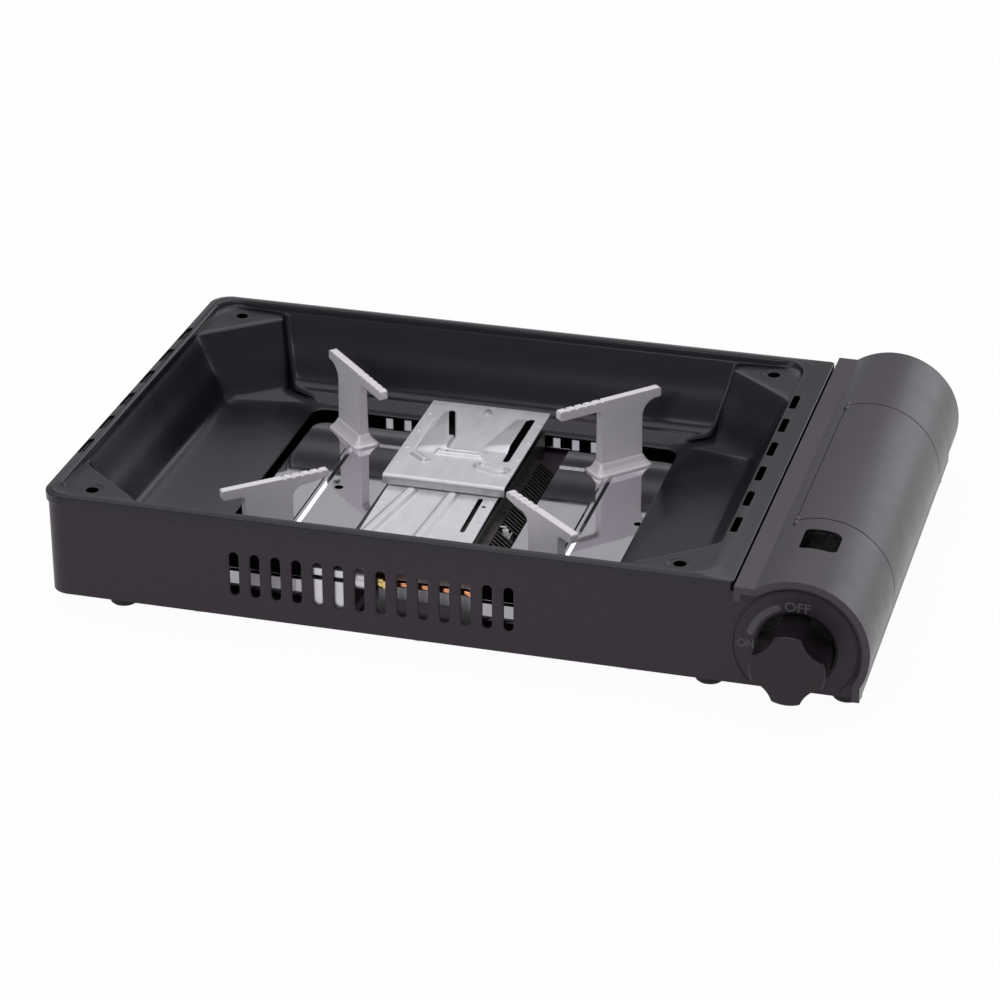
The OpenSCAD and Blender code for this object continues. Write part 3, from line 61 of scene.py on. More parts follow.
def make_piece(name, points, faces, material, body=BODY, sharp=40.0):
    mesh = bpy.data.meshes.new(name)
    mesh.from_pydata([place(p) for p in points], [], faces)
    mesh.validate()
    piece = bpy.data.objects.new(name, mesh)
    bpy.context.scene.collection.objects.link(piece)
    finish_piece(piece, material, body, sharp)
    return piece


def smooth(mesh, sharp):
    mesh.polygons.foreach_set("use_smooth", [True] * len(mesh.polygons))
    mesh.set_sharp_from_angle(angle=math.radians(sharp))
    mesh.update()


def finish_piece(piece, material, body, sharp):
    smooth(piece.data, sharp)
    piece.data.materials.clear()
    piece.data.materials.append(material)
    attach(piece, body)


def outward(piece):
    b = bmesh.new()
    b.from_mesh(piece.data)
    bmesh.ops.remove_doubles(b, verts=b.verts, dist=1e-6)
    bmesh.ops.recalc_face_normals(b, faces=b.faces)
    b.to_mesh(piece.data)
    b.free()


def apply_modifiers(piece, sharp=40.0):
    """Replaces the piece's mesh by what its modifiers make of it."""
    graph = bpy.context.evaluated_depsgraph_get()
    mesh = bpy.data.meshes.new_from_object(piece.evaluated_get(graph))
    piece.modifiers.clear()
    piece.data = mesh
    smooth(mesh, sharp)


def cut_away(piece, cutters):
    """Takes the cutters out of the piece and deletes them."""
    for cutter in cutters:
        m = piece.modifiers.new("cut", "BOOLEAN")
        m.operation = "DIFFERENCE"
        m.solver = "EXACT"
        m.object = cutter
    apply_modifiers(piece)
    for cutter in cutters:
        bpy.data.objects.remove(cutter)


def loose(name, points, faces):
    """A helper mesh that isn't a piece, such as a cutter."""
    mesh = bpy.data.meshes.new(name)
    mesh.from_pydata([place(p) for p in points], [], faces)
    o = bpy.data.objects.new(name, mesh)
    bpy.context.scene.collection.objects.link(o)
    outward(o)
    return o


def prism(outline, low, high):
    """Points and faces of an outline in the x-y plane, drawn up from low to high."""
    n = len(outline)
    points = [(x, y, low) for x, y in outline] + [(x, y, high) for x, y in outline]
    faces = [tuple(range(n - 1, -1, -1)), tuple(range(n, 2 * n))]
    faces += [(i, (i + 1) % n, n + (i + 1) % n, n + i) for i in range(n)]
    return points, faces


def rows_to_faces(rows):
    """Joins rows of points, each a closed loop, by quads, and the last row to the first."""
    n = len(rows[0])
    points = [p for r in rows for p in r]
    faces = []
    for i in range(len(rows)):
        a, b = i * n, ((i + 1) % len(rows)) * n
        for j in range(n):
            k = (j + 1) % n
            faces.append((a + j, a + k, b + k, b + j))
    return points, faces


def lathe(profile, centre, steps=64):
    """A closed profile of (radius, height) turned about an upright axis through the centre."""
    x, y, z = centre
    rows = []
    for i in range(steps):
        a = 2 * math.pi * i / steps
        rows.append([(x + r * math.cos(a), y + r * math.sin(a), z + h) for r, h in profile])
    return rows_to_faces(rows)


def rounded_box(x, y, w, h, r, steps=5):
    """A rectangle about (x, y) with round corners."""
    out = []
    for cx, cy, a0 in ((1, 1, 0), (-1, 1, 90), (-1, -1, 180), (1, -1, 270)):
        for k in range(steps + 1):
            a = math.radians(a0 + 90 * k / steps)
            out.append((x + cx * (w / 2 - r) + r * math.cos(a), y + cy * (h / 2 - r) + r * math.sin(a)))
    return out


def slot_cutter(a, b, width, low, high):
    d = (Vector(b) - Vector(a)).normalized() * width / 2
    side = Vector((-d.y, d.x))
    turn = [math.radians(k) for k in range(-90, 91, 30)]
    ring = [Vector(b) + d * math.cos(t) + side * math.sin(t) for t in turn]
    ring += [Vector(a) - d * math.cos(t) - side * math.sin(t) for t in turn]
    return loose("slot", *prism([tuple(v) for v in ring], low, high))


def round_cutter(x, y, r, low, high, steps=24):
    turn = np.linspace(0, 2 * math.pi, steps, endpoint=False)
    return loose("hole", *prism([(x + r * math.cos(t), y + r * math.sin(t)) for t in turn], low, high))


# Materials

def new_material(name):
    m = bpy.data.materials.new(name)
    m.use_nodes = True
    nodes = m.node_tree.nodes
    shader = next(n for n in nodes if n.type == "BSDF_PRINCIPLED")
    return m, nodes, m.node_tree.links, shader


def surface(name, dark, light, rough, metallic=0.0, grain=2.0, stretch=(1, 1, 1), bump=0.02,
            bump_grain=0.4, edge=0.0, specular=0.5, detail=3.0, tint=None):
    """A material whose colour and roughness wander between two values, with a fine bump.

    grain and bump_grain are the sizes of the two patterns, bump the bump's height and edge the
    radius by which sharp edges are softened, all in millimetres.
    """
    m, nodes, links, shader = new_material(name)
    shader.inputs["Metallic"].default_value = metallic
    shader.inputs["Specular IOR Level"].default_value = specular
    if tint:
        shader.inputs["Specular Tint"].default_value = (*tint, 1)
    where = nodes.new("ShaderNodeTexCoord")
    turn = nodes.new("ShaderNodeMapping")
    turn.inputs["Scale"].default_value = stretch
    links.new(where.outputs["Object"], turn.inputs["Vector"])

    broad = nodes.new("ShaderNodeTexNoise")
    broad.inputs["Scale"].default_value = 1000 / grain
    broad.inputs["Detail"].default_value = detail
    links.new(turn.outputs["Vector"], broad.inputs["Vector"])
    ramp = nodes.new("ShaderNodeValToRGB")
    ramp.color_ramp.elements[0].position = 0.3
    ramp.color_ramp.elements[0].color = (*dark, 1)
    ramp.color_ramp.elements[1].position = 0.7
    ramp.color_ramp.elements[1].color = (*light, 1)
    links.new(broad.outputs["Fac"], ramp.inputs["Fac"])
    links.new(ramp.outputs["Color"], shader.inputs["Base Color"])

    fine = nodes.new("ShaderNodeTexNoise")
    fine.inputs["Scale"].default_value = 1000 / bump_grain
    fine.inputs["Detail"].default_value = 2.0
    links.new(turn.outputs["Vector"], fine.inputs["Vector"])
    spread = nodes.new("ShaderNodeMapRange")
    spread.inputs["From Min"].default_value = 0.3
    spread.inputs["From Max"].default_value = 0.7
    spread.inputs["To Min"].default_value = rough[0]
    spread.inputs["To Max"].default_value = rough[1]
    links.new(broad.outputs["Fac"], spread.inputs["Value"])
    links.new(spread.outputs["Result"], shader.inputs["Roughness"])

    raised = nodes.new("ShaderNodeBump")
    raised.inputs["Strength"].default_value = 1.0
    raised.inputs["Distance"].default_value = bump / 1000
    links.new(fine.outputs["Fac"], raised.inputs["Height"])
    if edge:
        soft = nodes.new("ShaderNodeBevel")
        soft.samples = 4
        soft.inputs["Radius"].default_value = edge / 1000
        links.new(soft.outputs["Normal"], raised.inputs["Normal"])
    links.new(raised.outputs["Normal"], shader.inputs["Normal"])
    return m


PAINT = surface("charcoal_paint", (0.0195, 0.0135, 0.0205), (0.0235, 0.0165, 0.0245), (0.36, 0.44),
                grain=9, bump=0.006, bump_grain=0.7, edge=0.5, specular=0.34, tint=(1, 0.86, 1))
TRAY_PAINT = surface("tray_coat", (0.0058, 0.0049, 0.0072), (0.0068, 0.0058, 0.0084), (0.22, 0.25),
                     grain=14, bump=0.003, bump_grain=0.6, specular=0.42, tint=(0.95, 0.88, 1))
# The cover is the same charcoal paint as the body; its lighter colour here is painted light, standing in
# for the top light on the cylinder.
LIT_COVER_PAINT = surface("cover_paint", (0.025, 0.0205, 0.027), (0.029, 0.024, 0.0315), (0.32, 0.38),
                      grain=14, bump=0.005, bump_grain=0.7, edge=0.4, tint=(0.97, 0.88, 1))
ZINC = surface("zinc_plate", (0.52, 0.53, 0.55), (0.66, 0.67, 0.68), (0.24, 0.36),
               metallic=1, grain=3, bump=0.006, bump_grain=0.5, edge=0.2)
SCREWS = surface("zinc_screws", (0.6, 0.6, 0.61), (0.74, 0.74, 0.75), (0.22, 0.34),
                 metallic=1, grain=1, bump=0.004, bump_grain=0.3, edge=0.15)
BRIGHT = surface("bright_steel", (0.58, 0.565, 0.6), (0.64, 0.625, 0.66), (0.36, 0.42),
                 metallic=0.75, grain=7, stretch=(1, 0.3, 1), bump=0.0012, edge=0.35)
MIRROR = surface("mirror_steel", (0.72, 0.7, 0.75), (0.77, 0.75, 0.8), (0.03, 0.06),
                 metallic=1, grain=14, stretch=(1, 0.2, 1), bump=0.0008, bump_grain=3, edge=0.3)
BURNER = surface("burner_steel", (0.035, 0.032, 0.03), (0.09, 0.083, 0.078), (0.35, 0.5),
                 metallic=0.9, grain=4, bump=0.01, bump_grain=0.5, edge=0.2)
CAST = surface("cast_aluminium", (0.68, 0.655, 0.69), (0.78, 0.755, 0.79), (0.36, 0.46),
               metallic=0.3, grain=1.1, bump=0.03, bump_grain=0.6, edge=1.1, detail=6)
# The regulator's die-cast is darkened to near black as painted shade, standing in for the shade inside the
# gas bay behind the window.
DIECAST_PAINTED_SHADE = surface("die_cast_painted_shade", (0.02, 0.02, 0.02), (0.035, 0.034, 0.033), (0.45, 0.6),
                  metallic=0.4, bump_grain=0.5, edge=0.3, specular=0.3)
BRASS = surface("brass", (0.6, 0.42, 0.16), (0.74, 0.55, 0.24), (0.2, 0.3),
                metallic=1, bump=0.004, bump_grain=0.3, edge=0.2)
COPPER = surface("copper", (0.7, 0.27, 0.13), (0.86, 0.4, 0.22), (0.14, 0.24),
                 metallic=1, grain=3, bump=0.003)
PORCELAIN = surface("porcelain", (0.62, 0.61, 0.57), (0.72, 0.71, 0.68), (0.12, 0.2),
                    grain=3, bump=0.004, bump_grain=0.6)
RUBBER = surface("rubber", (0.01, 0.01, 0.01), (0.018, 0.018, 0.018), (0.6, 0.75),
                 bump_grain=0.3, edge=0.3, specular=0.3)
KNOB = surface("knob_plastic", (0.0068, 0.0052, 0.0072), (0.009, 0.007, 0.0095), (0.24, 0.32),
               bump=0.005, bump_grain=0.25, edge=0.5, specular=0.36, tint=(1, 0.88, 1))
DIAL = surface("dial_plastic", (0.003, 0.003, 0.0034), (0.005, 0.005, 0.0057), (0.3, 0.4),
               grain=4, bump=0.003, bump_grain=0.3, edge=0.3, specular=0.2)
BLACK = surface("black_plastic", (0.012, 0.012, 0.013), (0.02, 0.02, 0.021), (0.42, 0.55),
                bump=0.01, bump_grain=0.3, edge=0.2)
SHEATH = surface("lead_sheath", (0.02, 0.02, 0.02), (0.03, 0.03, 0.03), (0.5, 0.6),
                 bump=0.01, bump_grain=0.3)
MAGNET = surface("magnet", (0.4, 0.4, 0.4), (0.5, 0.5, 0.5), (0.2, 0.3),
                 metallic=1, bump=0.003, bump_grain=0.3, edge=0.2)
PRINT = surface("grey_print", (0.075, 0.07, 0.077), (0.088, 0.083, 0.09), (0.45, 0.55),
                grain=1, bump=0.002, bump_grain=0.3, specular=0.3)

SLOT_MATERIALS = {
    "body_paint": PAINT, "tray_paint": TRAY_PAINT, "cover_paint": LIT_COVER_PAINT, "galvanised": ZINC,
    "zinc_screws": SCREWS, "bright_steel": BRIGHT, "mirror_steel": MIRROR, "burner_steel": BURNER,
    "cast_aluminium": CAST, "cast_zinc": DIECAST_PAINTED_SHADE, "brass": BRASS, "copper": COPPER, "magnet": MAGNET,
    "porcelain": PORCELAIN, "lead_sheath": SHEATH, "rubber": RUBBER, "knob_plastic": KNOB,
    "dial_plastic": DIAL, "black_plastic": BLACK,
}
for part in frame["record"]["subparts"]:
    node = frame["nodes"][part["node"]]
    node.data.materials.clear()
    node.data.materials.append(SLOT_MATERIALS[part["material_slot"]])


# The tray: rows of points run round it as in the solid, with finer corners and bends

TRAY_W, TRAY_D, RIM_H, STRIP_W, SHEET = 450.0, 342.0, 79.0, 11.0, 1.0
PAD_H, OPEN_W, OPEN_D, OPEN_H, SKIRT_H = 73.5, 270.0, 252.0, 17.0, 7.7
CORNER_R, OPEN_R = 15.0, 10.0
PAD_HOLE_X, PAD_HOLE_Y, PAD_HOLE_R = 197, 147.5, 4.3
SLOTS, SLOT_STEP, SLOT_INSET = 6, 38.2, 3.2
SLOT_W, SLOT_L, SLOT_R = 4.8, 21.5, 1.6
RIDGE_X, BACK_Y = TRAY_W / 2, TRAY_D / 2
RIGHT_X = RIDGE_X + STRIP_W
WALL_X, WALL_Y = RIDGE_X - 8, BACK_Y - 8.5
# The wall's inset at its foot, and the heights of its bends
LEAN, FOOT = 19.0, OPEN_H + 9.5
WALL_FOOT, SHELF = FOOT + 6.5, PAD_H - 5
# How far the raised rim is set back on the right, beside the flat strip, and its corners there
STRIP_IN, STRIP_R = STRIP_W - 3, 20
# A round corner is given as three corners of 30 degrees, which rounded_row joins into one arc
CORNER_TURNS, HALF_TURN = (15, 45, 75), 15
ARC_STEPS = 7


def corner3(hx, hy, r):
    reach = r / math.cos(math.radians(HALF_TURN))
    return [(hx - r + reach * math.cos(math.radians(a)), hy - r + reach * math.sin(math.radians(a)), r)
            for a in CORNER_TURNS]


def row_corners(right, left):
    return (list(right) + [(-x, y, r) for x, y, r in reversed(left)] + [(-x, -y, r) for x, y, r in left]
            + [(x, -y, r) for x, y, r in reversed(right)])


def rounded_row(corners, z):
    row = []
    n = len(corners)
    for i in range(n):
        b = Vector(corners[i][:2])
        u = (b - Vector(corners[i - 1][:2])).normalized()
        v = (Vector(corners[(i + 1) % n][:2]) - b).normalized()
        r = corners[i][2]
        bend = math.atan2(u.x * v.y - u.y * v.x, u.dot(v))
        side = (v - u).normalized()
        centre = b + side * r / math.cos(bend / 2)
        for k in range(ARC_STEPS + 1):
            p = centre + Matrix.Rotation(bend * (k / ARC_STEPS - 0.5), 2) @ (-side * r)
            row.append((p.x, p.y, z))
    return row


def edge_row(inset, z, right=0.0, right_r=3.0):
    """The rim's outer edge, which reaches on the right over the strip at the cover."""
    return rounded_row(row_corners(
        corner3(RIGHT_X - inset - right, BACK_Y - inset, max(right_r - inset, 0.6)),
        corner3(RIDGE_X - inset, BACK_Y - inset, CORNER_R - inset)), z)


def inner_row(inset, r, z):
    c = corner3(RIDGE_X - inset, BACK_Y - inset, r)
    return rounded_row(row_corners(c, c), z)


def wall_row(s, z):
    """The wall with its corner pads, s inside its upper edge."""
    c = [(WALL_X - s, 109 - 0.2 * s, 14 + 0.3 * s), (167 - 0.6 * s, 151 - 0.72 * s, 5 + 0.2 * s),
         (170 - 0.3 * s, WALL_Y - 0.85 * s, 4)]
    return rounded_row(row_corners(c, c), z)


def open_row(grow, z):
    c = corner3(OPEN_W / 2 + grow, OPEN_D / 2 + grow, OPEN_R + grow)
    return rounded_row(row_corners(c, c), z)


def tray_rows():
    """Rows over the top of the sheet from the skirt to the opening, and back below it."""
    t = SHEET
    top = [
        edge_row(0, RIM_H - SKIRT_H), edge_row(0, RIM_H - 5), edge_row(0, RIM_H - 2.4),
        edge_row(0, RIM_H - 1.6), edge_row(0.35, RIM_H - 1.1), edge_row(1.2, RIM_H - 0.9),
        edge_row(3.3, RIM_H - 0.5, STRIP_W - 3.6, STRIP_R), edge_row(4, RIM_H, STRIP_IN, STRIP_R),
        inner_row(6, 19, RIM_H), inner_row(7.4, 17.6, RIM_H - 0.9), inner_row(8, 17, RIM_H - 2.6),
        inner_row(8.6, 16.4, PAD_H), wall_row(0.4, PAD_H), wall_row(1, PAD_H - 1.6),
        wall_row(2.6, SHELF), wall_row(8, SHELF - 13.5), wall_row(14, WALL_FOOT + 12.5),
        wall_row(LEAN, WALL_FOOT), wall_row(LEAN + 2.4, FOOT + 2.8), wall_row(LEAN + 6, FOOT + 0.4),
        wall_row(LEAN + 9, FOOT - 1), open_row(12, OPEN_H + 3.6), open_row(3, OPEN_H + 0.8),
        open_row(0, OPEN_H)]
    below = [
        open_row(0, OPEN_H - t), open_row(3.2, OPEN_H + 0.8 - t), wall_row(LEAN + 9, FOOT - 1 - t),
        wall_row(LEAN + 6 - 0.2 * t, FOOT + 0.4 - t), wall_row(LEAN + 2.4 - 0.7 * t, FOOT + 2.8 - 0.7 * t),
        wall_row(LEAN - 0.9 * t, WALL_FOOT - 0.4 * t), wall_row(2.6 - 0.9 * t, SHELF - 0.4 * t),
        wall_row(1 - 0.7 * t, PAD_H - 1.6 - 0.7 * t), wall_row(0.4 - 0.3 * t, PAD_H - t),
        inner_row(8.6 - t, 16.4 + t, PAD_H - t), inner_row(8 - t, 17 + t, RIM_H - 2.6 - 0.4 * t),
        inner_row(7.4 - 0.7 * t, 17.6 + 0.7 * t, RIM_H - 0.9 - 0.7 * t), inner_row(6, 19, RIM_H - t),
        edge_row(4, RIM_H - t, STRIP_IN, STRIP_R),
        edge_row(3.3, RIM_H - 0.5 - t, STRIP_W - 3.6, STRIP_R),
        edge_row(1.6, RIM_H - 0.9 - t), edge_row(0.4 + 0.75 * t, RIM_H - 1.2 - t),
        edge_row(t, RIM_H - 1.9 - 0.7 * t), edge_row(t, RIM_H - SKIRT_H)]
    return top + below


def build_tray():
    points, faces = rows_to_faces(tray_rows())
    tray = make_piece("tray_sheet", points, faces, TRAY_PAINT, sharp=80)
    outward(tray)
    m = tray.modifiers.new("fine", "SUBSURF")
    m.levels = m.render_levels = 2
    apply_modifiers(tray, 80)
    reach = 4
    cutters = []
    for sx in (-1, 1):
        for sy in (-1, 1):
            cutters.append(round_cutter(sx * PAD_HOLE_X, sy * PAD_HOLE_Y, PAD_HOLE_R,
                                        PAD_H - reach, PAD_H + reach, steps=48))
        for i in range(SLOTS):
            x, y = sx * (RIDGE_X - SLOT_INSET), (i - (SLOTS - 1) / 2) * SLOT_STEP
            outline = rounded_box(x, y, SLOT_W, SLOT_L, SLOT_R)
            cutters.append(loose("rim_slot", *prism(outline, RIM_H - 3, RIM_H + 3)))
    cut_away(tray, cutters)
    smooth(tray.data, 50)
    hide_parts("tray")


def pad_rings():
    """A low bead is pressed up round each pad hole."""
    profile = [(7.1, -0.3), (9.5, -0.3), (9.3, 0.0), (8.8, 0.3), (8.3, 0.42), (7.8, 0.3), (7.3, 0.0)]
    points, faces = [], []
    for sx in (-1, 1):
        for sy in (-1, 1):
            p, f = lathe(profile, (sx * PAD_HOLE_X, sy * PAD_HOLE_Y, PAD_H))
            faces += [tuple(i + len(points) for i in face) for face in f]
            points += p
    outward(make_piece("pad_rings", points, faces, TRAY_PAINT, sharp=60))


# The burner's covers: pressed sheets, whose embossing is a height over the plane

COVER_SHEET = 0.8
REAR_CUT, FRONT_CUT = (30, 45), (20, 40)
REAR_HALF_W, REAR_NEAR_Y, REAR_FAR_Y, REAR_TOP, REAR_BEND = 43.2, -6, 118, 38.0, 2.4
FRONT_HALF_W, FRONT_NEAR_Y, FRONT_FAR_Y, FRONT_LOW, FRONT_RISE = 39, -98, 8, 27, 4
REAR_RIVETS = [(x, y) for x, ys in ((-39.4, (96, 67.8, 40, 16)), (40.4, (96, 67.6, 40, 12))) for y in ys]
FRONT_RIVETS = ((35.5, -12), (35.5, -44), (-36, -30))


def ramp(value, low, high):
    t = np.clip((value - low) / (high - low), 0, 1)
    return t * t * (3 - 2 * t)


def to_line(x, y, a, b):
    """Distance from the points to the line between a and b."""
    ax, ay = a
    dx, dy = b[0] - ax, b[1] - ay
    t = np.clip(((x - ax) * dx + (y - ay) * dy) / (dx * dx + dy * dy), 0, 1)
    return np.hypot(x - ax - t * dx, y - ay - t * dy)


def pressed_rib(x, y, a, b, top, foot, height):
    """A rib from a to b, flat within top of the line and down to the sheet at foot."""
    return height * (1 - ramp(to_line(x, y, a, b), top, foot))


def scored_line(x, y, a, b, depth):
    return depth * (1 - ramp(to_line(x, y, a, b), 0.2, 0.8))


def rivets(x, y, places, height):
    return sum(height * (1 - ramp(np.hypot(x - rx, y - ry), 0.3, 1.3)) for rx, ry in places)


def lanced_flap(x, y, fold, lip, height):
    """Rises from the fold line to the lip of a slot; both are given by two points, back end first."""
    along = ramp(y, fold[1][1] - 5, fold[1][1] + 4) * (1 - ramp(y, fold[0][1] - 3, fold[0][1] + 3))
    fold_x = np.interp(y, [fold[1][1], fold[0][1]], [fold[1][0], fold[0][0]])
    lip_x = np.interp(y, [lip[1][1], lip[0][1]], [lip[1][0], lip[0][0]])
    share = (x - fold_x) / np.maximum(lip_x - fold_x, 0.5)
    return height * along * np.clip(share, 0, 1) * (1 - ramp(x, lip_x, lip_x + 2))


def rear_height(x, y):
    """Two lanced flaps, a sunk pad, a short rib, a loop, a scored line and rivets."""
    h = lanced_flap(x, y, ((-30, 100), (-33, 40)), ((-24.5, 104), (-12, 60)), 3.2)
    h = np.maximum(h, lanced_flap(x, y, ((22, 100), (12, 52)), ((31, 104), (31, 34)), 3.0))
    pad = np.maximum(np.abs(x + 0.8) - 14.5, np.abs(y - 39) - 2.5)
    h = np.maximum(h, 2.0 * (1 - ramp(pad, 0.5, 3.6)))
    h = h - 0.9 * (1 - ramp(pad, -3.5, -0.5))
    h = np.maximum(h, pressed_rib(x, y, (-30.5, 29.5), (-21.5, 22), 1.4, 3.4, 2.4))
    loop = np.abs(to_line(x, y, (19.5, 23.5), (34, 19)) - 4.2)
    h = np.maximum(h, 2.4 * (1 - ramp(loop, 0.3, 2.3)))
    h = h - scored_line(x, y, (-33.6, 88), (-32.6, 30), 0.35) + rivets(x, y, REAR_RIVETS, 0.7)
    edge = np.minimum(REAR_HALF_W - np.abs(x), REAR_FAR_Y - y)
    return h * ramp(edge, 0.2, 1.5)


def front_height(x, y):
    """Two long ribs, two scored lines, a short rib and rivets."""
    h = pressed_rib(x, y, (-21, -12), (-33.4, -74), 2.0, 5.2, 2.4)
    h = np.maximum(h, pressed_rib(x, y, (8.1, -12), (2.6, -72.6), 2.0, 5.2, 2.4))
    h = h - scored_line(x, y, (-10, -16), (-16, -70), 0.3) - scored_line(x, y, (18, -14), (16, -70), 0.3)
    h = np.maximum(h, pressed_rib(x, y, (-35.5, -2.5), (-31.5, 1.5), 0.6, 2.0, 1.6))
    return h + rivets(x, y, FRONT_RIVETS, 0.6)


def along_line(line):
    """The direction of a line of (y, z) at each of its points."""
    out = []
    for j in range(len(line)):
        before, after = line[max(j - 1, 0)], line[min(j + 1, len(line) - 1)]
        out.append(Vector((after[0] - before[0], after[1] - before[1])).normalized()[:])
    return np.array(out)


def sheet_solid(name, xs, line, height):
    """A sheet along x whose middle profile is the line of (y, z); the height is pressed up from it."""
    nx, ny = len(xs), len(line)
    ys = np.array([p[0] for p in line])
    zs = np.array([p[1] for p in line])
    gx, gy = np.meshgrid(xs, ys, indexing="ij")
    lift = height(gx, gy) * ramp(zs, zs.max() - 6, zs.max() - 4.5)[None, :]
    along = along_line(line)
    down = np.stack([along[:, 1], -along[:, 0]], axis=1) * COVER_SHEET
    top = [(x, ys[j], zs[j] + lift[i, j]) for i, x in enumerate(xs) for j in range(ny)]
    low = [(x, ys[j] + down[j, 0], zs[j] + lift[i, j] + down[j, 1])
           for i, x in enumerate(xs) for j in range(ny)]
    n = nx * ny
    faces = []
    for i in range(nx - 1):
        for j in range(ny - 1):
            a, b, c, d = i * ny + j, (i + 1) * ny + j, (i + 1) * ny + j + 1, i * ny + j + 1
            faces += [(a, b, c, d), (n + d, n + c, n + b, n + a)]
    for i in range(nx - 1):
        for j in (0, ny - 1):
            a, b = i * ny + j, (i + 1) * ny + j
            faces.append((a, n + a, n + b, b) if j == 0 else (b, n + b, n + a, a))
    for j in range(ny - 1):
        for i in (0, nx - 1):
            a, b = i * ny + j, i * ny + j + 1
            faces.append((b, n + b, n + a, a) if i == 0 else (a, n + a, n + b, b))
    piece = make_piece(name, top + low, faces, BRIGHT, sharp=50)
    outward(piece)
    return piece


def build_burner_covers():
    line = [(REAR_NEAR_Y, z) for z in (31.2, 33.0, 34.6)]
    line += [(REAR_NEAR_Y + REAR_BEND * (1 - math.cos(t)), REAR_TOP - REAR_BEND * (1 - math.sin(t)))
             for t in np.radians([0, 22, 45, 68, 90])]
    line += [(y, REAR_TOP) for y in np.arange(-2.8, REAR_FAR_Y - 0.1, 0.8)] + [(REAR_FAR_Y, REAR_TOP)]
    rear = sheet_solid("burner_rear_sheet", np.linspace(-REAR_HALF_W, REAR_HALF_W, 109), line, rear_height)
    cut_away(rear, [slot_cutter((-25.2, 103), (-13.2, 62), 4.5, *REAR_CUT),
                    slot_cutter((33.4, 103), (33, 36), 4.5, *REAR_CUT),
                    round_cutter(-10, 38, 1.3, *REAR_CUT), round_cutter(0, 108, 1.9, *REAR_CUT)])
    smooth(rear.data, 50)
    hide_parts("burner_cover_rear")

    depth = FRONT_FAR_Y - FRONT_NEAR_Y
    line = [(y, FRONT_LOW + FRONT_RISE * (y - FRONT_NEAR_Y) / depth)
            for y in np.linspace(FRONT_NEAR_Y, FRONT_FAR_Y, 133)]
    front = sheet_solid("burner_front_sheet", np.linspace(-FRONT_HALF_W, FRONT_HALF_W, 99), line,
                        front_height)
    cut_away(front, [slot_cutter((28.2, -11), (28.3, -56), 3.5, *FRONT_CUT),
                     round_cutter(33, -20.5, 1.5, *FRONT_CUT)])
    smooth(front.data, 50)
    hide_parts("burner_cover_front")


# The dial's print: OFF, ON and the band between them

DIAL_X, DIAL_Z, PANEL_Y = 275.76, 36.0, -169.4
# The band is an arc about the knob, whose ends are rounded over a few of its steps
BAND_R, BAND_HALF, BAND_FROM, BAND_TURN, BAND_STEPS, BAND_ENDS = 29.4, 2.2, 109, 60, 40, 4


def flat_print(name, outline_rows):
    """A thin printed shape on the front panel; each row is the left and right point of the shape."""
    n = len(outline_rows)
    points = [(x, PANEL_Y - d, z) for d in (0.06, -0.1) for row in outline_rows for x, z in row]
    faces = []
    for i in range(n - 1):
        a = 2 * i
        faces += [(a, a + 1, a + 3, a + 2), (2 * n + a, 2 * n + a + 2, 2 * n + a + 3, 2 * n + a + 1),
                  (a, a + 2, 2 * n + a + 2, 2 * n + a), (a + 1, 2 * n + a + 1, 2 * n + a + 3, a + 3)]
    faces += [(0, 2 * n, 2 * n + 1, 1), (2 * n - 2, 2 * n - 1, 4 * n - 1, 4 * n - 2)]
    outward(make_piece(name, points, faces, PRINT))


def dial_band():
    rows = []
    for k in range(BAND_STEPS + 1):
        a = math.radians(BAND_FROM + BAND_TURN * k / BAND_STEPS)
        end = min(k, BAND_STEPS - k) / BAND_ENDS
        half = BAND_HALF * math.sqrt(1 - (1 - min(end, 1)) ** 2) + 0.05
        radii = (BAND_R - half, BAND_R + half)
        rows.append([(DIAL_X + r * math.cos(a), DIAL_Z + r * math.sin(a)) for r in radii])
    flat_print("dial_band", rows)


def dial_word(word, x0, x1, z0, z1):
    """Raised letters of the dial, fitted into a box on the front panel."""
    name = "dial_" + word.lower()
    curve = bpy.data.curves.new(name, "FONT")
    curve.body = word
    curve.extrude = 0.02
    curve.offset = 0.018
    text = bpy.data.objects.new(name, curve)
    bpy.context.scene.collection.objects.link(text)
    graph = bpy.context.evaluated_depsgraph_get()
    mesh = bpy.data.meshes.new_from_object(text.evaluated_get(graph))
    bpy.data.objects.remove(text)
    xs = [v.co.x for v in mesh.vertices]
    ys = [v.co.y for v in mesh.vertices]
    for v in mesh.vertices:
        x = x0 + (x1 - x0) * (v.co.x - min(xs)) / (max(xs) - min(xs))
        z = z0 + (z1 - z0) * (v.co.y - min(ys)) / (max(ys) - min(ys))
        v.co = place((x, PANEL_Y - 0.08 if v.co.z > 0 else PANEL_Y + 0.08, z))
    piece = bpy.data.objects.new(name, mesh)
    bpy.context.scene.collection.objects.link(piece)
    outward(piece)
    finish_piece(piece, PRINT, BODY, 30)


build_tray()
pad_rings()
build_burner_covers()
dial_band()
dial_word("OFF", 268.3, 284.8, 61.4, 68.1)
dial_word("ON", 239.2, 249.8, 32.6, 38.4)


# The camera, at the photograph's angle

EYE_AT = (0.55283, -2.00634, 1.07484)
EYE_TURN = Matrix(((0.9634, -0.11789, 0.24074), (0.26805, 0.43221, -0.86102), (-0.00254, 0.89404, 0.44799)))

camera = bpy.data.cameras.new("camera")
camera.sensor_width = 36
camera.lens = 123.77
camera.clip_end = 30
eye = bpy.data.objects.new("camera", camera)
bpy.context.scene.collection.objects.link(eye)
eye.matrix_world = Matrix.Translation(EYE_AT) @ EYE_TURN.to_4x4()
bpy.context.scene.camera = eye


# The floor, the world and the lights

FLOOR_HALF = 6.0
FLOOR_GLOW = 0.96


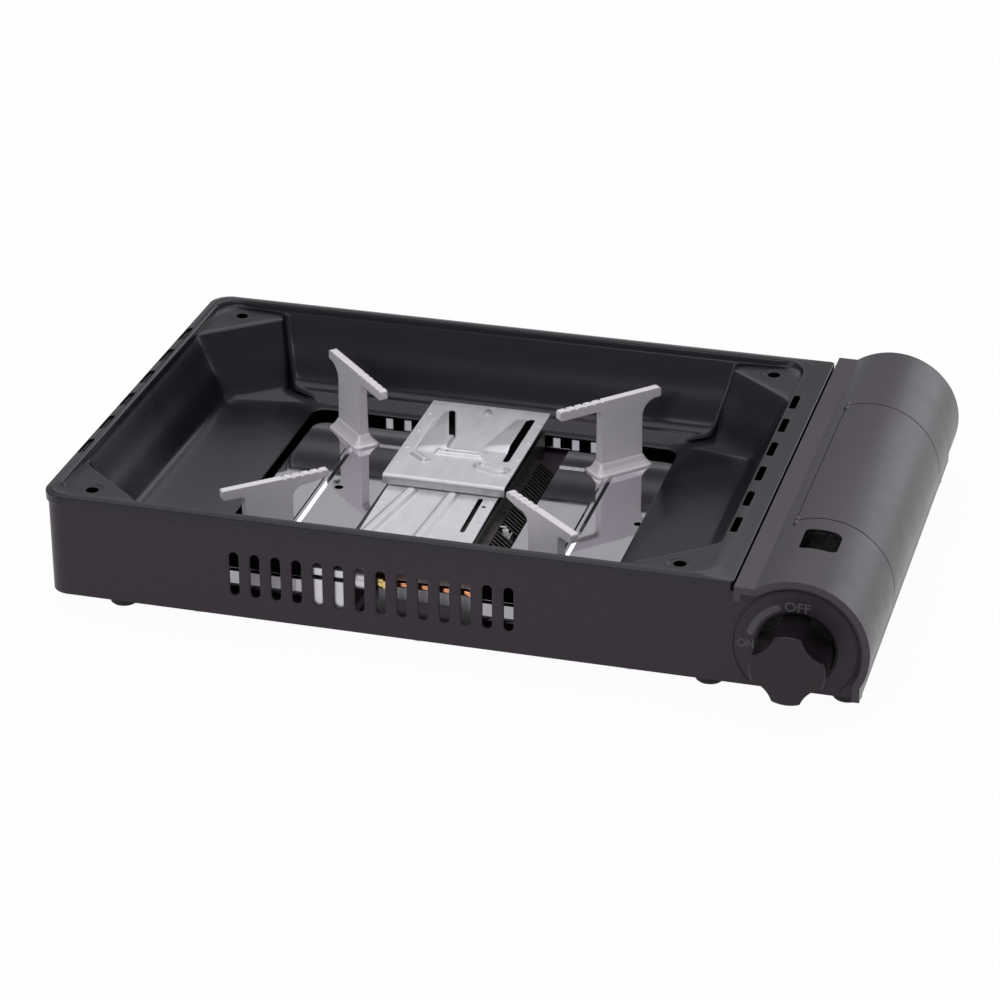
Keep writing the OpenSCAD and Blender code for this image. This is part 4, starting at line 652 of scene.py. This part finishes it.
def stage_floor():
    """A pale floor that shows near white to the camera and in mirrors, and still takes shadows."""
    h = FLOOR_HALF
    mesh = bpy.data.meshes.new("floor")
    mesh.from_pydata([(-h, -h, 0), (h, -h, 0), (h, h, 0), (-h, h, 0)], [], [(0, 1, 2, 3)])
    floor = bpy.data.objects.new("floor", mesh)
    bpy.context.scene.collection.objects.link(floor)
    m, nodes, links, shader = new_material("floor")
    shader.inputs["Base Color"].default_value = (0.86, 0.86, 0.86, 1)
    shader.inputs["Roughness"].default_value = 0.9
    shader.inputs["Specular IOR Level"].default_value = 0.0
    glow = nodes.new("ShaderNodeEmission")
    glow.inputs["Strength"].default_value = 1.0
    path = nodes.new("ShaderNodeLightPath")
    most = nodes.new("ShaderNodeMath")
    most.operation = "MAXIMUM"
    links.new(path.outputs["Is Camera Ray"], most.inputs[0])
    links.new(path.outputs["Is Glossy Ray"], most.inputs[1])
    share = nodes.new("ShaderNodeMath")
    share.operation = "MULTIPLY"
    share.inputs[1].default_value = FLOOR_GLOW
    links.new(most.outputs[0], share.inputs[0])
    mix = nodes.new("ShaderNodeMixShader")
    out = next(n for n in nodes if n.type == "OUTPUT_MATERIAL")
    links.new(share.outputs[0], mix.inputs[0])
    links.new(shader.outputs[0], mix.inputs[1])
    links.new(glow.outputs[0], mix.inputs[2])
    links.new(mix.outputs[0], out.inputs["Surface"])
    mesh.materials.append(m)


def light_world(level):
    world = bpy.data.worlds.new("studio")
    bpy.context.scene.world = world
    world.use_nodes = True
    back = next(n for n in world.node_tree.nodes if n.type == "BACKGROUND")
    back.inputs["Color"].default_value = (0.98, 0.97, 1, 1)
    back.inputs["Strength"].default_value = level


def soft_box(name, at, target, size, watts):
    lamp = bpy.data.lights.new(name, "AREA")
    lamp.shape = "RECTANGLE"
    lamp.size, lamp.size_y = size
    lamp.energy = watts
    o = bpy.data.objects.new(name, lamp)
    bpy.context.scene.collection.objects.link(o)
    o.location = at
    o.rotation_euler = (Vector(target) - Vector(at)).to_track_quat("-Z", "Y").to_euler()


stage_floor()
light_world(0.45)
soft_box("top_light", (-0.1, 0.3, 1.9), (0, 0, 0), (2.0, 1.4), 12)
soft_box("back_light", (-0.35, 1.6, 1.5), (0, 0, 0.05), (2.0, 0.7), 5)
soft_box("front_light", (0.2, -1.7, 1.5), (0, 0, 0.05), (1.6, 0.8), 9)
soft_box("left_light", (-1.5, -1.1, 0.9), (0, 0, 0.05), (1.0, 1.0), 6)
soft_box("side_light", (1.25, 1.9, 0.6), (0.1, 0, 0.05), (1.9, 1.0), 9)
bpy.context.scene.view_settings.view_transform = "Standard"
